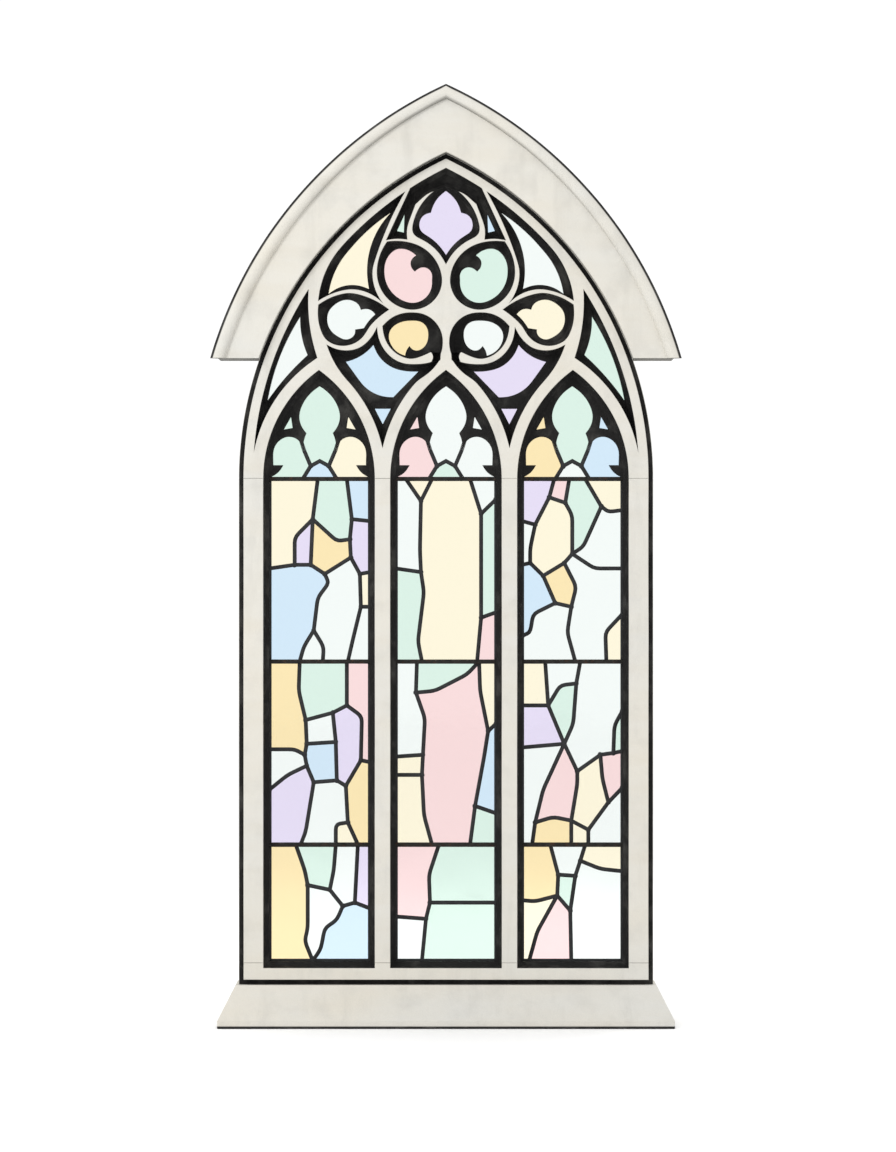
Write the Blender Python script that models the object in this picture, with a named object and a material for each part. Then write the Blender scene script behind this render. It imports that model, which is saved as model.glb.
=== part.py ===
"""A three-light pointed window in limestone with flowing tracery, leaded glass and iron saddle bars.

Metres, +Z up, the outer face towards -Y. The window stands on its sill, with its origin under the
middle of the sill. Outlines lie in the window's own plane as corners joined by straight or round
sides; a side's swell is its sagitta over its chord, and is positive where the side bulges outwards.
"""

import math

import bmesh
import bpy
import numpy as np

# Driving sizes of the elevation
LIGHT_WIDTH = 0.404
MULLION_WIDTH = 0.104
JAMB_WIDTH = 0.120
SILL_HEIGHT = 0.164
RAIL_HEIGHT = 0.088
LIGHT_HEIGHT = 1.938
ARCH_RISE = 1.302
LIGHT_RISE = 0.408

# Mouldings seen from the front
MARGIN_WIDTH = 0.020
MARGIN_DEPTH = 0.030
ARCH_FILLET = 0.034
LIGHT_CHAMFER = 0.021
TRACERY_CHAMFER = 0.016
BULB_CHAMFER = 0.006
LIGHT_BAND = 0.044
REBATE = 0.008

# Depths
STONE_DEPTH = 0.220
CUSP_THICKNESS = 0.035
GLASS_THICKNESS = 0.006
LEAD_THICKNESS = 0.005

# Hood band outside the arch: its width at the springing and over the crown, and how many facets
# of the arch it leaves bare above the springing
HOOD_WIDTH = 0.179
HOOD_CROWN = 0.273
HOOD_PROJECTION = 0.040
HOOD_ROLL = 0.030
HOOD_BARE_FACETS = 3

# Sill
SILL_NOSE = 0.030
SILL_OVERHANG = 0.080
SILL_DEPTH = 0.480
SILL_SEAT = 0.012

# Leads and iron
LEAD_WIDTH = 0.016
BAR_HEIGHT = 0.018
BAR_DEPTH = 0.024
BAR_POCKET = 0.012
LOW_BAR = 0.468
HIGH_BAR = 1.204

# Fits: CLEARANCE between touching pieces, and how far a cutter runs past the stone
CLEARANCE = 0.0003
OVERRUN = 0.020

# How far a straight piece of a round side may lie inside the true curve
FLATNESS = 0.0024

# Limits of the arithmetic: a bulge taken as straight, the degrees of a turn taken as no corner and
# of one that is squared off, the rounds that settle a moved corner, what is taken as nothing, the
# reach of a weld and the decimals of a lead's point
STRAIGHT = 1e-6
NO_CORNER = 8
SQUARED_TURN = 130
CORNER_ROUNDS = 12
NOTHING = 1e-9
WELD_REACH = 1e-5
DECIMALS = 6

# Places worked out from the sizes
LIGHTS = ("left", "middle", "right")
PITCH = LIGHT_WIDTH + MULLION_WIDTH
LIGHT_AXIS = {name: (i - 1) * PITCH for i, name in enumerate(LIGHTS)}
HALF_WIDTH = (3 * LIGHT_WIDTH + 2 * MULLION_WIDTH + 2 * JAMB_WIDTH) / 2
HALF_LIGHT = LIGHT_WIDTH / 2
RAIL_TOP = SILL_HEIGHT + RAIL_HEIGHT
SPRING = RAIL_TOP + LIGHT_HEIGHT
ARCH_RADIUS = (ARCH_RISE**2 + HALF_WIDTH**2) / (2 * HALF_WIDTH)
LIGHT_RADIUS = (LIGHT_RISE**2 + HALF_LIGHT**2) / (2 * HALF_LIGHT)
FRONT = -STONE_DEPTH / 2
BACK = STONE_DEPTH / 2
PLATE_FRONT = -CUSP_THICKNESS
INNER_RADIUS = ARCH_RADIUS - MARGIN_WIDTH - ARCH_FILLET
BAND_RADIUS = LIGHT_RADIUS + LIGHT_CHAMFER + LIGHT_BAND
BAND_CROWN = math.sqrt(BAND_RADIUS**2 - (LIGHT_RADIUS - HALF_LIGHT) ** 2)
BAR_MIDDLES = (
    RAIL_TOP + LOW_BAR,
    RAIL_TOP + HIGH_BAR,
    SPRING,
)


def clear_scene():
    for obj in list(bpy.data.objects):
        bpy.data.objects.remove(obj, do_unlink=True)


def collection(name):
    made = bpy.data.collections.new(name)
    bpy.context.scene.collection.children.link(made)
    return made


def material(name, colour, roughness, metallic=0.0, transmission=0.0):
    made = bpy.data.materials.new(name)
    made.use_nodes = True
    shader = made.node_tree.nodes["Principled BSDF"]
    shader.inputs["Base Color"].default_value = (*colour, 1.0)
    shader.inputs["Roughness"].default_value = roughness
    shader.inputs["Metallic"].default_value = metallic
    shader.inputs["Transmission Weight"].default_value = transmission
    made.diffuse_color = (*colour, 1.0)
    return made


# Outlines: lists of (x, z, bulge), anticlockwise seen from the front, bulge = tan(turn / 4)


def outline(corners):
    """Corners as (x, z, swell), in either direction, made one anticlockwise outline."""
    ring = [(x, z) for x, z, _ in corners]
    swells = [swell for _, _, swell in corners]
    area = sum(a[0] * b[1] - b[0] * a[1] for a, b in zip(ring, ring[1:] + ring[:1]))
    if area < 0:
        ring = ring[::-1]
        swells = swells[-2::-1] + swells[-1:]
    return [(x, z, 2 * swell) for (x, z), swell in zip(ring, swells)]


def sides(shape):
    return list(zip(shape, shape[1:] + shape[:1]))


def is_round(start):
    return abs(start[2]) >= STRAIGHT


def centre_of(start, end):
    """Centre and radius of a round side."""
    x, z, bulge = start
    dx, dz = end[0] - x, end[1] - z
    reach = (1 - bulge**2) / (4 * bulge)
    centre = (x + dx / 2 - dz * reach, z + dz / 2 + dx * reach)
    return centre, math.dist(centre, (x, z))


def away(start, end, point):
    """Unit vector out of the outline at a point of one side."""
    if not is_round(start):
        dx, dz = end[0] - start[0], end[1] - start[1]
        length = math.hypot(dx, dz)
        return dz / length, -dx / length
    centre, radius = centre_of(start, end)
    sign = math.copysign(1 / radius, start[2])
    return (point[0] - centre[0]) * sign, (point[1] - centre[1]) * sign


def height_over(start, end, point, distance):
    """How far a point lies outside one side that is moved out by distance."""
    if not is_round(start):
        nx, nz = away(start, end, point)
        return (point[0] - start[0]) * nx + (point[1] - start[1]) * nz - distance
    centre, radius = centre_of(start, end)
    sign = math.copysign(1, start[2])
    return (math.dist(point, centre) - radius) * sign - distance


def slope_at(start, end, point):
    """Unit vector along which height_over grows."""
    if not is_round(start):
        return away(start, end, point)
    centre, _ = centre_of(start, end)
    length = math.dist(point, centre) * math.copysign(1, start[2])
    return (point[0] - centre[0]) / length, (point[1] - centre[1]) / length


def moved_corner(before, after, distance):
    """Where two neighbouring sides meet once both are moved out by distance."""
    point = (after[0][0], after[0][1])
    na, nb = away(*before, point), away(*after, point)
    along = na[0] * nb[0] + na[1] * nb[1]
    if along > math.cos(math.radians(NO_CORNER)):
        return point[0] + nb[0] * distance, point[1] + nb[1] * distance
    reach = distance / (1 + along)
    point = (point[0] + (na[0] + nb[0]) * reach, point[1] + (na[1] + nb[1]) * reach)
    for _ in range(CORNER_ROUNDS):
        na, nb = slope_at(*before, point), slope_at(*after, point)
        ha = height_over(*before, point, distance)
        hb = height_over(*after, point, distance)
        cross = na[0] * nb[1] - na[1] * nb[0]
        point = (
            point[0] - (ha * nb[1] - hb * na[1]) / cross,
            point[1] - (hb * na[0] - ha * nb[0]) / cross,
        )
    return point


def turn_of(start, end, centre, bulge):
    first = math.atan2(start[1] - centre[1], start[0] - centre[0])
    last = math.atan2(end[1] - centre[1], end[0] - centre[0])
    if bulge > 0:
        return first, (last - first) % (2 * math.pi)
    return first, -((first - last) % (2 * math.pi))


def offset(shape, distance):
    """The outline moved out by distance, or in where that is negative."""
    edges = sides(shape)
    corners = [
        moved_corner(edges[i - 1], edges[i], distance) for i in range(len(edges))
    ]
    moved = []
    for i, (start, end) in enumerate(edges):
        here, there = corners[i], corners[(i + 1) % len(corners)]
        bulge = 0.0
        if is_round(start):
            centre, _ = centre_of(start, end)
            _, turn = turn_of(here, there, centre, start[2])
            bulge = math.tan(turn / 4)
        moved.append((*here, bulge))
    return moved


def pieces_of(shape):
    """How many straight pieces each side is drawn with."""
    return [
        max(1, math.ceil(math.sqrt(abs(a[2]) * math.dist(a[:2], b[:2]) / 2 / FLATNESS)))
        for a, b in sides(shape)
    ]


def drawn(shape, counts):
    """The outline's points, each side in its own number of pieces."""
    points = []
    for (start, end), count in zip(sides(shape), counts):
        if count == 1:
            points.append((start[0], start[1]))
            continue
        centre, radius = centre_of(start, end)
        first, turn = turn_of(start, end, centre, start[2])
        for k in range(count):
            angle = first + turn * k / count
            points.append(
                (centre[0] + radius * math.cos(angle), centre[1] + radius * math.sin(angle))
            )
    return points


def swell_along(start, end, radius):
    """Swell of a side that keeps a known radius."""
    chord = math.dist(start, end)
    return (radius - math.sqrt(radius**2 - chord**2 / 4)) / chord


def mirrored(corners):
    return [(-x, z, swell) for x, z, swell in corners]


def both_halves(half):
    """A half from the axis at the top to the axis at the bottom, with its mirror image."""
    other = [
        (-half[i + 1][0], half[i + 1][1], half[i][2]) for i in range(len(half) - 2, -1, -1)
    ]
    return half[:-1] + other


# Solids


def box_outline(x0, x1, z0, z1):
    return [(x0, z0, 0.0), (x1, z0, 0.0), (x1, z1, 0.0), (x0, z1, 0.0)]


def skin(name, rows, home, finish=None):
    """A closed solid through rows of points, whose first and last rows are its ends."""
    mesh = bpy.data.meshes.new(name)
    shape = bmesh.new()
    rows = [[shape.verts.new(point) for point in row] for row in rows]
    shape.faces.new(rows[0])
    shape.faces.new(rows[-1][::-1])
    for near, far in zip(rows, rows[1:]):
        for i in range(len(near)):
            j = (i + 1) % len(near)
            shape.faces.new((near[i], far[i], far[j], near[j]))
    bmesh.ops.recalc_face_normals(shape, faces=shape.faces)
    shape.to_mesh(mesh)
    shape.free()
    if finish:
        mesh.materials.append(finish)
    made = bpy.data.objects.new(name, mesh)
    home.objects.link(made)
    return made


def loft(name, rings, home, finish=None):
    """Such a solid through outlines as (y, points), from front to back."""
    rows = [[(x, y, z) for x, z in points] for y, points in rings]
    return skin(name, rows, home, finish)


def plate(name, rings, front, back, finish, home):
    """A flat plate from front to back with its outline first and any holes after it."""
    curve = bpy.data.curves.new(name, "CURVE")
    curve.dimensions = "2D"
    curve.fill_mode = "BOTH"
    curve.extrude = (back - front) / 2
    for ring in rings:
        spline = curve.splines.new("POLY")
        spline.points.add(len(ring) - 1)
        spline.use_cyclic_u = True
        for point, (x, z) in zip(spline.points, ring):
            point.co = (x, z, 0.0, 1.0)
    made = bpy.data.objects.new(name, curve)
    made.rotation_euler = (math.pi / 2, 0.0, 0.0)
    made.location = (0.0, (front + back) / 2, 0.0)
    if finish:
        curve.materials.append(finish)
    home.objects.link(made)
    return made


def as_mesh(curved, home):
    """The same piece as a mesh, which a cut needs."""
    bpy.context.view_layer.update()
    graph = bpy.context.evaluated_depsgraph_get()
    mesh = bpy.data.meshes.new_from_object(curved.evaluated_get(graph))
    shape = bmesh.new()
    shape.from_mesh(mesh)
    bmesh.ops.remove_doubles(shape, verts=shape.verts, dist=WELD_REACH)
    bmesh.ops.recalc_face_normals(shape, faces=shape.faces)
    shape.to_mesh(mesh)
    shape.free()
    name = curved.name
    matrix = curved.matrix_world.copy()
    bpy.data.objects.remove(curved, do_unlink=True)
    made = bpy.data.objects.new(name, mesh)
    made.matrix_world = matrix
    home.objects.link(made)
    return made


def as_cutter(obj):
    obj.hide_render = True
    obj.display_type = "WIRE"
    return obj


def cut(obj, cutters):
    modifier = obj.modifiers.new("openings", "BOOLEAN")
    modifier.operation = "DIFFERENCE"
    modifier.solver = "EXACT"
    modifier.operand_type = "COLLECTION"
    modifier.collection = cutters


def hollow_cutter(name, front_shape, chamfer, home):
    """The moulded hollow from the front face down to the cusps."""
    counts = pieces_of(front_shape)
    outer = drawn(front_shape, counts)
    throat = drawn(offset(front_shape, -chamfer), counts)
    rings = [(FRONT - OVERRUN, outer), (FRONT, outer), (PLATE_FRONT, throat)]
    return as_cutter(loft(f"{name}_hollow", rings, home))


def splay_cutter(name, front_shape, chamfer, home):
    """The splayed rebate behind the cusps."""
    counts = pieces_of(front_shape)
    outer = drawn(front_shape, counts)
    rebate = drawn(offset(front_shape, REBATE - chamfer), counts)
    rings = [(0.0, rebate), (BACK, outer), (BACK + OVERRUN, outer)]
    return as_cutter(loft(f"{name}_splay", rings, home))


def piercing(name, shape, home):
    """A cutter straight through the cusped plate."""
    ring = drawn(shape, pieces_of(shape))
    middle = CUSP_THICKNESS / 2
    return as_cutter(loft(name, [(PLATE_FRONT - middle, ring), (middle, ring)], home))


def glass_behind(name, front_shape, chamfer, finish, home):
    """The glass of one opening, lying in its rebate against the cusps."""
    shape = offset(front_shape, REBATE - chamfer - CLEARANCE)
    ring = drawn(shape, pieces_of(front_shape))
    return plate(name, [ring], CLEARANCE, CLEARANCE + GLASS_THICKNESS, finish, home)


# The window's own outlines


def at(across, up):
    """A point of the head, in hundredths of its half width and of its rise."""
    return across * HALF_WIDTH / 100, SPRING + up * ARCH_RISE / 100


def on_arch(up):
    """A point of the arch's inner edge, by its height."""
    x = HALF_WIDTH - ARCH_RADIUS
    z = up * ARCH_RISE / 100
    return x + math.sqrt(INNER_RADIUS**2 - z**2), SPRING + z


def on_band(light, side, up):
    """A point of the band round a light's head, by its height in hundredths of the band's own."""
    centre = LIGHT_AXIS[light] - side * (LIGHT_RADIUS - HALF_LIGHT)
    z = up * BAND_CROWN / 100
    return centre + side * math.sqrt(BAND_RADIUS**2 - z**2), SPRING + z


def pointed(axis, half, rise, bottom):
    """A rectangle under a two-centred arch whose centres are level with its springing."""
    radius = (rise**2 + half**2) / (2 * half)
    swell = swell_along((half, 0.0), (0.0, rise), radius)
    return outline(
        [
            (axis - half, bottom, 0.0),
            (axis + half, bottom, 0.0),
            (axis + half, SPRING, swell),
            (axis, SPRING + rise, swell),
            (axis - half, SPRING, 0.0),
        ]
    )


def arch_over(half, rise):
    """The head alone of such an arch about the window's axis, from its springing up."""
    radius = (rise**2 + half**2) / (2 * half)
    swell = swell_along((half, 0.0), (0.0, rise), radius)
    foot = SPRING + CLEARANCE
    return outline([(-half, foot, 0.0), (half, foot, swell), (0.0, SPRING + rise, swell)])


def light_outline(light, bottom=RAIL_TOP):
    return pointed(LIGHT_AXIS[light], HALF_LIGHT, LIGHT_RISE, bottom)


def head_arch(axis, grow):
    """The pointed head over a light's springing, wider than the light by grow on each side."""
    radius = LIGHT_RADIUS + grow
    half = HALF_LIGHT + grow
    foot = (half, SPRING + CLEARANCE)
    crown = (0.0, SPRING + math.sqrt(radius**2 - (radius - half) ** 2))
    swell = swell_along(foot, crown, radius)
    return outline(
        [(axis - half, foot[1], 0.0), (axis + half, foot[1], swell), (axis, crown[1], swell)]
    )


def shares(rows):
    return [(*at(across, up), swell) for across, up, swell in rows]


# Each tracery opening, right of the axis: its edge on the front face, then the glass seen through it


def soufflet():
    front = both_halves(
        shares([(0, 90.5, 0.13), (16.3, 77.2, 0.21), (13.6, 74.0, -0.10), (0, 65.8, 0)])
    )
    glass = both_halves(
        shares(
            [(0, 89.0, 0.11), (7.3, 82.3, 0.24), (13.0, 78.5, 0.20), (10.0, 75.4, -0.07), (0, 69.1, 0)]
        )
    )
    return front, [glass]


def under_peak():
    """The blind hollow under the arch's peak, which runs into the soufflet's and the eyelets'."""
    peak = (0.0, SPRING + math.sqrt(INNER_RADIUS**2 - (ARCH_RADIUS - HALF_WIDTH) ** 2))
    foot = on_arch(89.2)
    half = [
        (*peak, swell_along(peak, foot, INNER_RADIUS)),
        (*foot, 0),
        *shares([(16.0, 83.5, 0), (8.9, 87.6, 0), (0, 89.6, 0)]),
    ]
    return both_halves(half)


def beside_bulb():
    """The blind hollow that parts the bulb under a lower foil from the stem."""
    return shares([(2.4, 39.2, 0), (2.8, 36.3, 0), (7.0, 35.9, -0.3), (7.2, 38.9, 0)])


def eyelet():
    shoulder, foot = on_arch(92.0), on_arch(89.2)
    front = [
        (*shoulder, swell_along(shoulder, foot, INNER_RADIUS)),
        (*foot, 0),
        (*at(28.9, 73.2), -0.06),
        (*at(18.6, 73.4), -0.06),
        (*at(18.4, 78.0), 0),
    ]
    return front, [shares([(20.1, 81.7, 0), (23.8, 76.5, 0), (20.4, 76.0, 0)])]


def mouchette():
    tip, haunch = on_arch(88.2), on_arch(71.1)
    front = [
        (*tip, swell_along(tip, haunch, INNER_RADIUS)),
        (*haunch, 0.08),
        (*at(61.6, 54.6), -0.06),
        (*at(46.4, 58.2), -0.11),
        (*at(30.3, 53.8), -0.10),
        (*at(35.4, 64.6), -0.03),
    ]
    glass = [(26.0, 82.6, 0.04), (46.4, 71.1, 0.08), (57.0, 57.0, -0.16), (37.3, 58.6, -0.13)]
    return front, [shares(glass)]


def upper_foil():
    front = [
        (28.4, 72.8, 0.05),
        (17.2, 72.5, 0.17),
        (1.8, 60.9, 0.21),
        (16.7, 51.8, 0.21),
        (33.3, 64.6, 0.07),
    ]
    glass = [
        (24.3, 71.1, 0.14),
        (14.3, 69.0, -0.37),
        (15.1, 64.1, 0.48),
        (6.8, 61.5, 0.24),
        (16.7, 54.2, 0.19),
        (29.9, 64.0, 0.15),
    ]
    return shares(front), [shares(glass)]


def side_foil():
    front = [
        (61.5, 53.4, 0.07),
        (46.4, 57.1, 0.07),
        (27.4, 51.9, -0.04),
        (37.4, 46.3, 0.27),
        (58.3, 42.8, 0.09),
    ]
    glass = [
        (34.2, 50.8, 0.23),
        (41.3, 52.3, 0),
        (42.0, 53.9, 0.21),
        (53.9, 53.9, 0.14),
        (57.7, 49.8, 0.17),
        (51.5, 43.7, 0.24),
        (44.7, 44.0, 0.20),
        (44.0, 46.1, 0),
        (39.8, 46.5, -0.05),
    ]
    return shares(front), [shares(glass)]


def lower_foil():
    front = [
        (30.6, 46.8, 0.13),
        (16.3, 51.0, 0.24),
        (1.6, 40.9, 0.07),
        (2.7, 38.0, 0),
        (7.5, 38.8, 0.03),
        (16.3, 36.6, 0.17),
        (30.2, 44.6, 0),
    ]
    glass = [
        (17.7, 41.0, -0.13),
        (19.8, 38.0, 0.14),
        (27.4, 42.5, 0.18),
        (25.5, 47.3, 0.10),
        (16.0, 48.9, 0.28),
        (8.6, 44.3, 0.19),
        (13.6, 39.4, 0.20),
    ]
    return shares(front), [shares(glass)]


def lunette():
    outer, inner = on_band("right", -1, 82.0), on_band("middle", 1, 81.0)
    mid_mullion = PITCH / 2
    reach = mid_mullion - (HALF_LIGHT - LIGHT_RADIUS)
    foot = (mid_mullion, SPRING + math.sqrt(BAND_RADIUS**2 - reach**2))
    front = [
        *shares([(57.5, 41.1, -0.13), (41.3, 40.2, -0.08), (33.2, 46.6, -0.14)]),
        *shares([(23.5, 36.0, -0.07), (15.3, 35.1, -0.07), (2.5, 37.0, 0.08)]),
        (*inner, -swell_along(inner, foot, BAND_RADIUS)),
        (*foot, -swell_along(outer, foot, BAND_RADIUS)),
        (*outer, 0.05),
    ]
    moon = [
        (48.5, 36.2, -0.09),
        (35.2, 41.4, -0.13),
        (23.5, 33.8, -0.04),
        (13.3, 33.2, 0),
        (25.5, 25.2, 0.12),
        (40.8, 29.4, 0),
    ]
    drop = [(34.5, 21.7, 0), (26.7, 21.7, 0), (30.6, 16.9, 0)]
    return front, [shares(moon), shares(drop)]


def spandrel():
    top, corner = on_arch(58.2), on_band("right", 1, 99.1)
    band, z = on_band("right", 1, 21.4)
    foot = ((on_arch((z - SPRING) * 100 / ARCH_RISE)[0] + band) / 2, z)
    front = [
        (*top, -0.05),
        (*corner, -swell_along(corner, foot, BAND_RADIUS)),
        (*foot, swell_along(top, foot, INNER_RADIUS)),
    ]
    return front, [shares([(70.6, 50.2, -0.06), (67.0, 38.2, -0.03), (86.5, 24.0, 0.05)])]


OPENINGS = {
    "eyelet": eyelet,
    "mouchette": mouchette,
    "upper_foil": upper_foil,
    "side_foil": side_foil,
    "lower_foil": lower_foil,
    "lunette": lunette,
    "spandrel": spandrel,
}


def head_piercings(light):
    """A light's cusped head and its two eyelets, in hundredths of its half width and rise."""

    def placed(corners, side=1):
        return [
            (axis + side * u * HALF_LIGHT / 100, SPRING + v * LIGHT_RISE / 100, swell)
            for u, v, swell in corners
        ]

    axis = LIGHT_AXIS[light]
    half = [
        (0, 91.4, 0.11),
        (40.9, 63.9, 0.12),
        (26.3, 45.2, 0),
        (31.9, 38.3, 0),
        (32.9, 30.9, 0.17),
        (60.9, 42.2, 0.23),
        (92.2, 20.6, 0),
        (92.2, 13.5, 0),
        (72.5, 13.5, -0.12),
        (99, 1.5, 0),
        (99, -8, 0),
        (0, -8, 0),
    ]
    drop = [(56.9, 61.4, 0), (71.5, 48.6, 0), (53.5, 50.1, 0)]
    return placed(both_halves(half)), placed(drop), placed(drop, -1)


# Routes of the leads, each panel's in hundredths of its width and height from its lower left

LEADS = {
    ("left", "top"): (
        ((48, 100), (43, 78), (41, 53)),
        ((0, 51), (25, 53), (41, 53), (55, 48), (81, 57)),
        ((43, 78), (25, 68), (25, 53)),
        ((43, 78), (67, 66), (80, 67)),
        ((77, 100), (82, 78), (80, 67), (81, 57)),
        ((82, 78), (100, 77)),
        ((81, 57), (90, 48), (100, 49)),
        ((90, 48), (91, 30), (100, 30)),
        ((91, 30), (83, 12), (78, 0)),
        ((55, 48), (59, 43), (48, 35), (44, 17), (34, 8), (30, 0)),
        ((44, 17), (54, 8), (53, 0)),
    ),
    ("left", "middle"): (
        ((30, 100), (29, 84), (36, 68), (37, 55), (35, 49), (37, 43), (44, 34)),
        ((77, 100), (77, 76)),
        ((36, 68), (63, 72), (77, 76), (92, 70), (91, 46), (76, 32)),
        ((63, 72), (66, 56), (67, 35)),
        ((37, 55), (66, 56)),
        ((91, 46), (100, 45)),
        ((0, 52), (25, 52), (35, 49)),
        ((0, 30), (18, 38), (37, 43)),
        ((44, 34), (67, 35), (76, 32)),
        ((44, 34), (36, 7), (31, 0)),
        ((76, 32), (78, 12), (88, 0)),
        ((78, 12), (66, 11), (66, 0)),
    ),
    ("left", "low"): (
        ((26, 100), (35, 78), (38, 65), (38, 28), (35, 17), (43, 0)),
        ((66, 100), (64, 78), (60, 61)),
        ((38, 65), (60, 61), (73, 47), (67, 35), (55, 28), (51, 10), (43, 0)),
        ((73, 47), (85, 50), (100, 45)),
        ((88, 100), (85, 50)),
    ),
    ("middle", "top"): (
        ((10, 100), (25, 88), (36, 100)),
        ((25, 88), (24, 61), (25, 49), (28, 38), (22, 11), (26, 0)),
        ((0, 51), (25, 49)),
        ((74, 100), (85, 81)),
        ((100, 89), (85, 81), (85, 24), (81, 0)),
        ((85, 24), (100, 27)),
    ),
    ("middle", "middle"): (
        ((21, 100), (20, 83), (29, 69), (27, 49), (26, 38), (28, 16), (36, 0)),
        ((83, 100), (71, 93), (39, 84), (20, 83)),
        ((83, 100), (84, 84), (92, 62)),
        ((100, 66), (92, 62), (88, 48), (79, 21), (74, 0)),
        ((0, 48), (27, 49)),
        ((0, 38), (26, 38)),
        ((79, 21), (100, 17)),
    ),
    ("middle", "low"): (
        ((43, 100), (33, 74), (34, 50), (30, 36), (26, 0)),
        ((34, 50), (100, 50)),
        ((0, 38), (30, 36)),
    ),
    ("right", "top"): (
        ((32, 100), (27, 90), (13, 75), (8, 62), (8, 54)),
        ((0, 77), (13, 75)),
        ((0, 53), (8, 54), (21, 47)),
        ((27, 90), (43, 87), (50, 80), (50, 59), (42, 54), (21, 47), (33, 32)),
        ((47, 100), (43, 87)),
        ((63, 100), (79, 85), (86, 82), (100, 83)),
        ((79, 85), (61, 63), (50, 59)),
        ((50, 59), (72, 51), (100, 51)),
        ((42, 54), (54, 41), (49, 30), (33, 32)),
        ((33, 32), (11, 26), (8, 16), (0, 14)),
        ((49, 30), (45, 16), (53, 0)),
        ((100, 26), (83, 16), (84, 0)),
    ),
    ("right", "middle"): (
        ((23, 100), (26, 76), (42, 55)),
        ((0, 76), (26, 76)),
        ((58, 100), (54, 88), (51, 66), (42, 55)),
        ((54, 88), (38, 87), (26, 76)),
        ((0, 53), (42, 55), (21, 30), (13, 12), (10, 0)),
        ((42, 55), (55, 40), (55, 33), (49, 13), (49, 0)),
        ((55, 40), (78, 49), (91, 50), (100, 51)),
        ((100, 73), (92, 65), (91, 50)),
        ((78, 49), (80, 36), (86, 23)),
        ((100, 31), (86, 23), (66, 8), (66, 0)),
        ((13, 12), (31, 15), (49, 13), (66, 8)),
    ),
    ("right", "low"): (
        ((28, 100), (36, 74), (35, 56), (48, 43)),
        ((0, 52), (13, 51), (35, 56), (15, 25), (7, 0)),
        ((63, 100), (58, 86), (53, 73), (48, 43), (49, 0)),
        ((36, 74), (53, 73)),
        ((58, 86), (78, 79), (100, 77)),
    ),
}

# A light's head: the lead behind the bar, the peak on it and the two legs up to the cusps
HEAD_LEADS = (
    ((-97, 0), (-34, 0), (34, 0), (97, 0)),
    ((-34, 0), (-18, 12.8), (0, 17.7), (18, 12.8), (34, 0)),
    ((-18, 12.8), (-31, 28)),
    ((18, 12.8), (31, 28)),
)


def lead_graph(routes):
    """Every point of the routes with the points that it is joined to, sorted by direction."""
    joined = {}
    for route in routes:
        for a, b in zip(route, route[1:]):
            joined.setdefault(a, set()).add(b)
            joined.setdefault(b, set()).add(a)
    return {
        point: sorted(others, key=lambda o: math.atan2(o[1] - point[1], o[0] - point[0]))
        for point, others in joined.items()
    }


def walks(graph):
    """The closed walks round each pane, and the one round the outside."""
    left = {(a, b) for a, others in graph.items() for b in others}
    found = []
    for edge in sorted(left):
        if edge not in left:
            continue
        walk = []
        while edge in left:
            left.remove(edge)
            walk.append(edge[0])
            a, b = edge
            ring = graph[b]
            edge = (b, ring[ring.index(a) - 1])
        found.append(walk)
    return found


def inset(walk, distance):
    """A walk moved to its left by distance, squared off at a free end or a sharp turn."""
    points = []
    for i, here in enumerate(walk):
        before, after = walk[i - 1], walk[(i + 1) % len(walk)]
        one = np.subtract(here, before) / math.dist(here, before)
        two = np.subtract(after, here) / math.dist(after, here)
        first, second = np.array((-one[1], one[0])), np.array((-two[1], two[0]))
        along = float(first @ second)
        turns_right = one[0] * two[1] - one[1] * two[0] <= NOTHING
        if turns_right and along < math.cos(math.radians(SQUARED_TURN)):
            points.append(tuple(here + first * distance))
            points.append(tuple(here + second * distance))
        else:
            points.append(tuple(here + (first + second) / (1 + along) * distance))
    return points


def panel_border(routes, x0, x1, z0, z1):
    """The four sides of a panel through every lead's end that lies on them."""
    corners = [(x0, z0), (x1, z0), (x1, z1), (x0, z1)]
    ends = [point for route in routes for point in (route[0], route[-1])]
    border = []
    for a, b in zip(corners, corners[1:] + corners[:1]):
        on_side = [
            p for p in ends if abs(math.dist(a, p) + math.dist(p, b) - math.dist(a, b)) < NOTHING
        ]
        border.append((a, *sorted(set(on_side) - {a, b}, key=lambda p: math.dist(a, p)), b))
    return border


def held_within(ring, x0, x1, z0, z1):
    """A ring with whatever reaches past a box moved back to the box's sides."""
    return [(min(max(x, x0), x1), min(max(z, z0), z1)) for x, z in ring]


def panel_spans():
    """Lowest and highest z of each row of panels, which meet behind the bars."""
    gap = CLEARANCE / 2
    low, high, top = BAR_MIDDLES
    return {
        "low": (RAIL_TOP + CLEARANCE, low - gap),
        "middle": (low + gap, high - gap),
        "top": (high + gap, top - gap),
    }


def panel_routes(light, row, box):
    """A panel's leads and its four sides, with every point rounded so that ends that meet are equal."""
    x0, x1, z0, z1 = box
    routes = [
        tuple(
            (round(x0 + u * (x1 - x0) / 100, DECIMALS), round(z0 + v * (z1 - z0) / 100, DECIMALS))
            for u, v in route
        )
        for route in LEADS[light, row]
    ]
    return [*routes, *panel_border(routes, *(round(side, DECIMALS) for side in box))]


def head_routes(axis):
    """The leads of a light's head, from the half lead behind the bar up to the cusps."""
    foot = SPRING + CLEARANCE
    return [
        tuple((axis + u * HALF_LIGHT / 100, foot + v * LIGHT_RISE / 100) for u, v in route)
        for route in HEAD_LEADS
    ]


# The pieces


def lead_net(name, routes, box, finish, home):
    """All leads of one panel as one soldered net, with half leads along the sides of its box."""
    rings = [
        held_within(inset(walk, LEAD_WIDTH / 2), *box) for walk in walks(lead_graph(routes))
    ]
    return plate(name, rings, -LEAD_THICKNESS, 0.0, finish, home)


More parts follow.
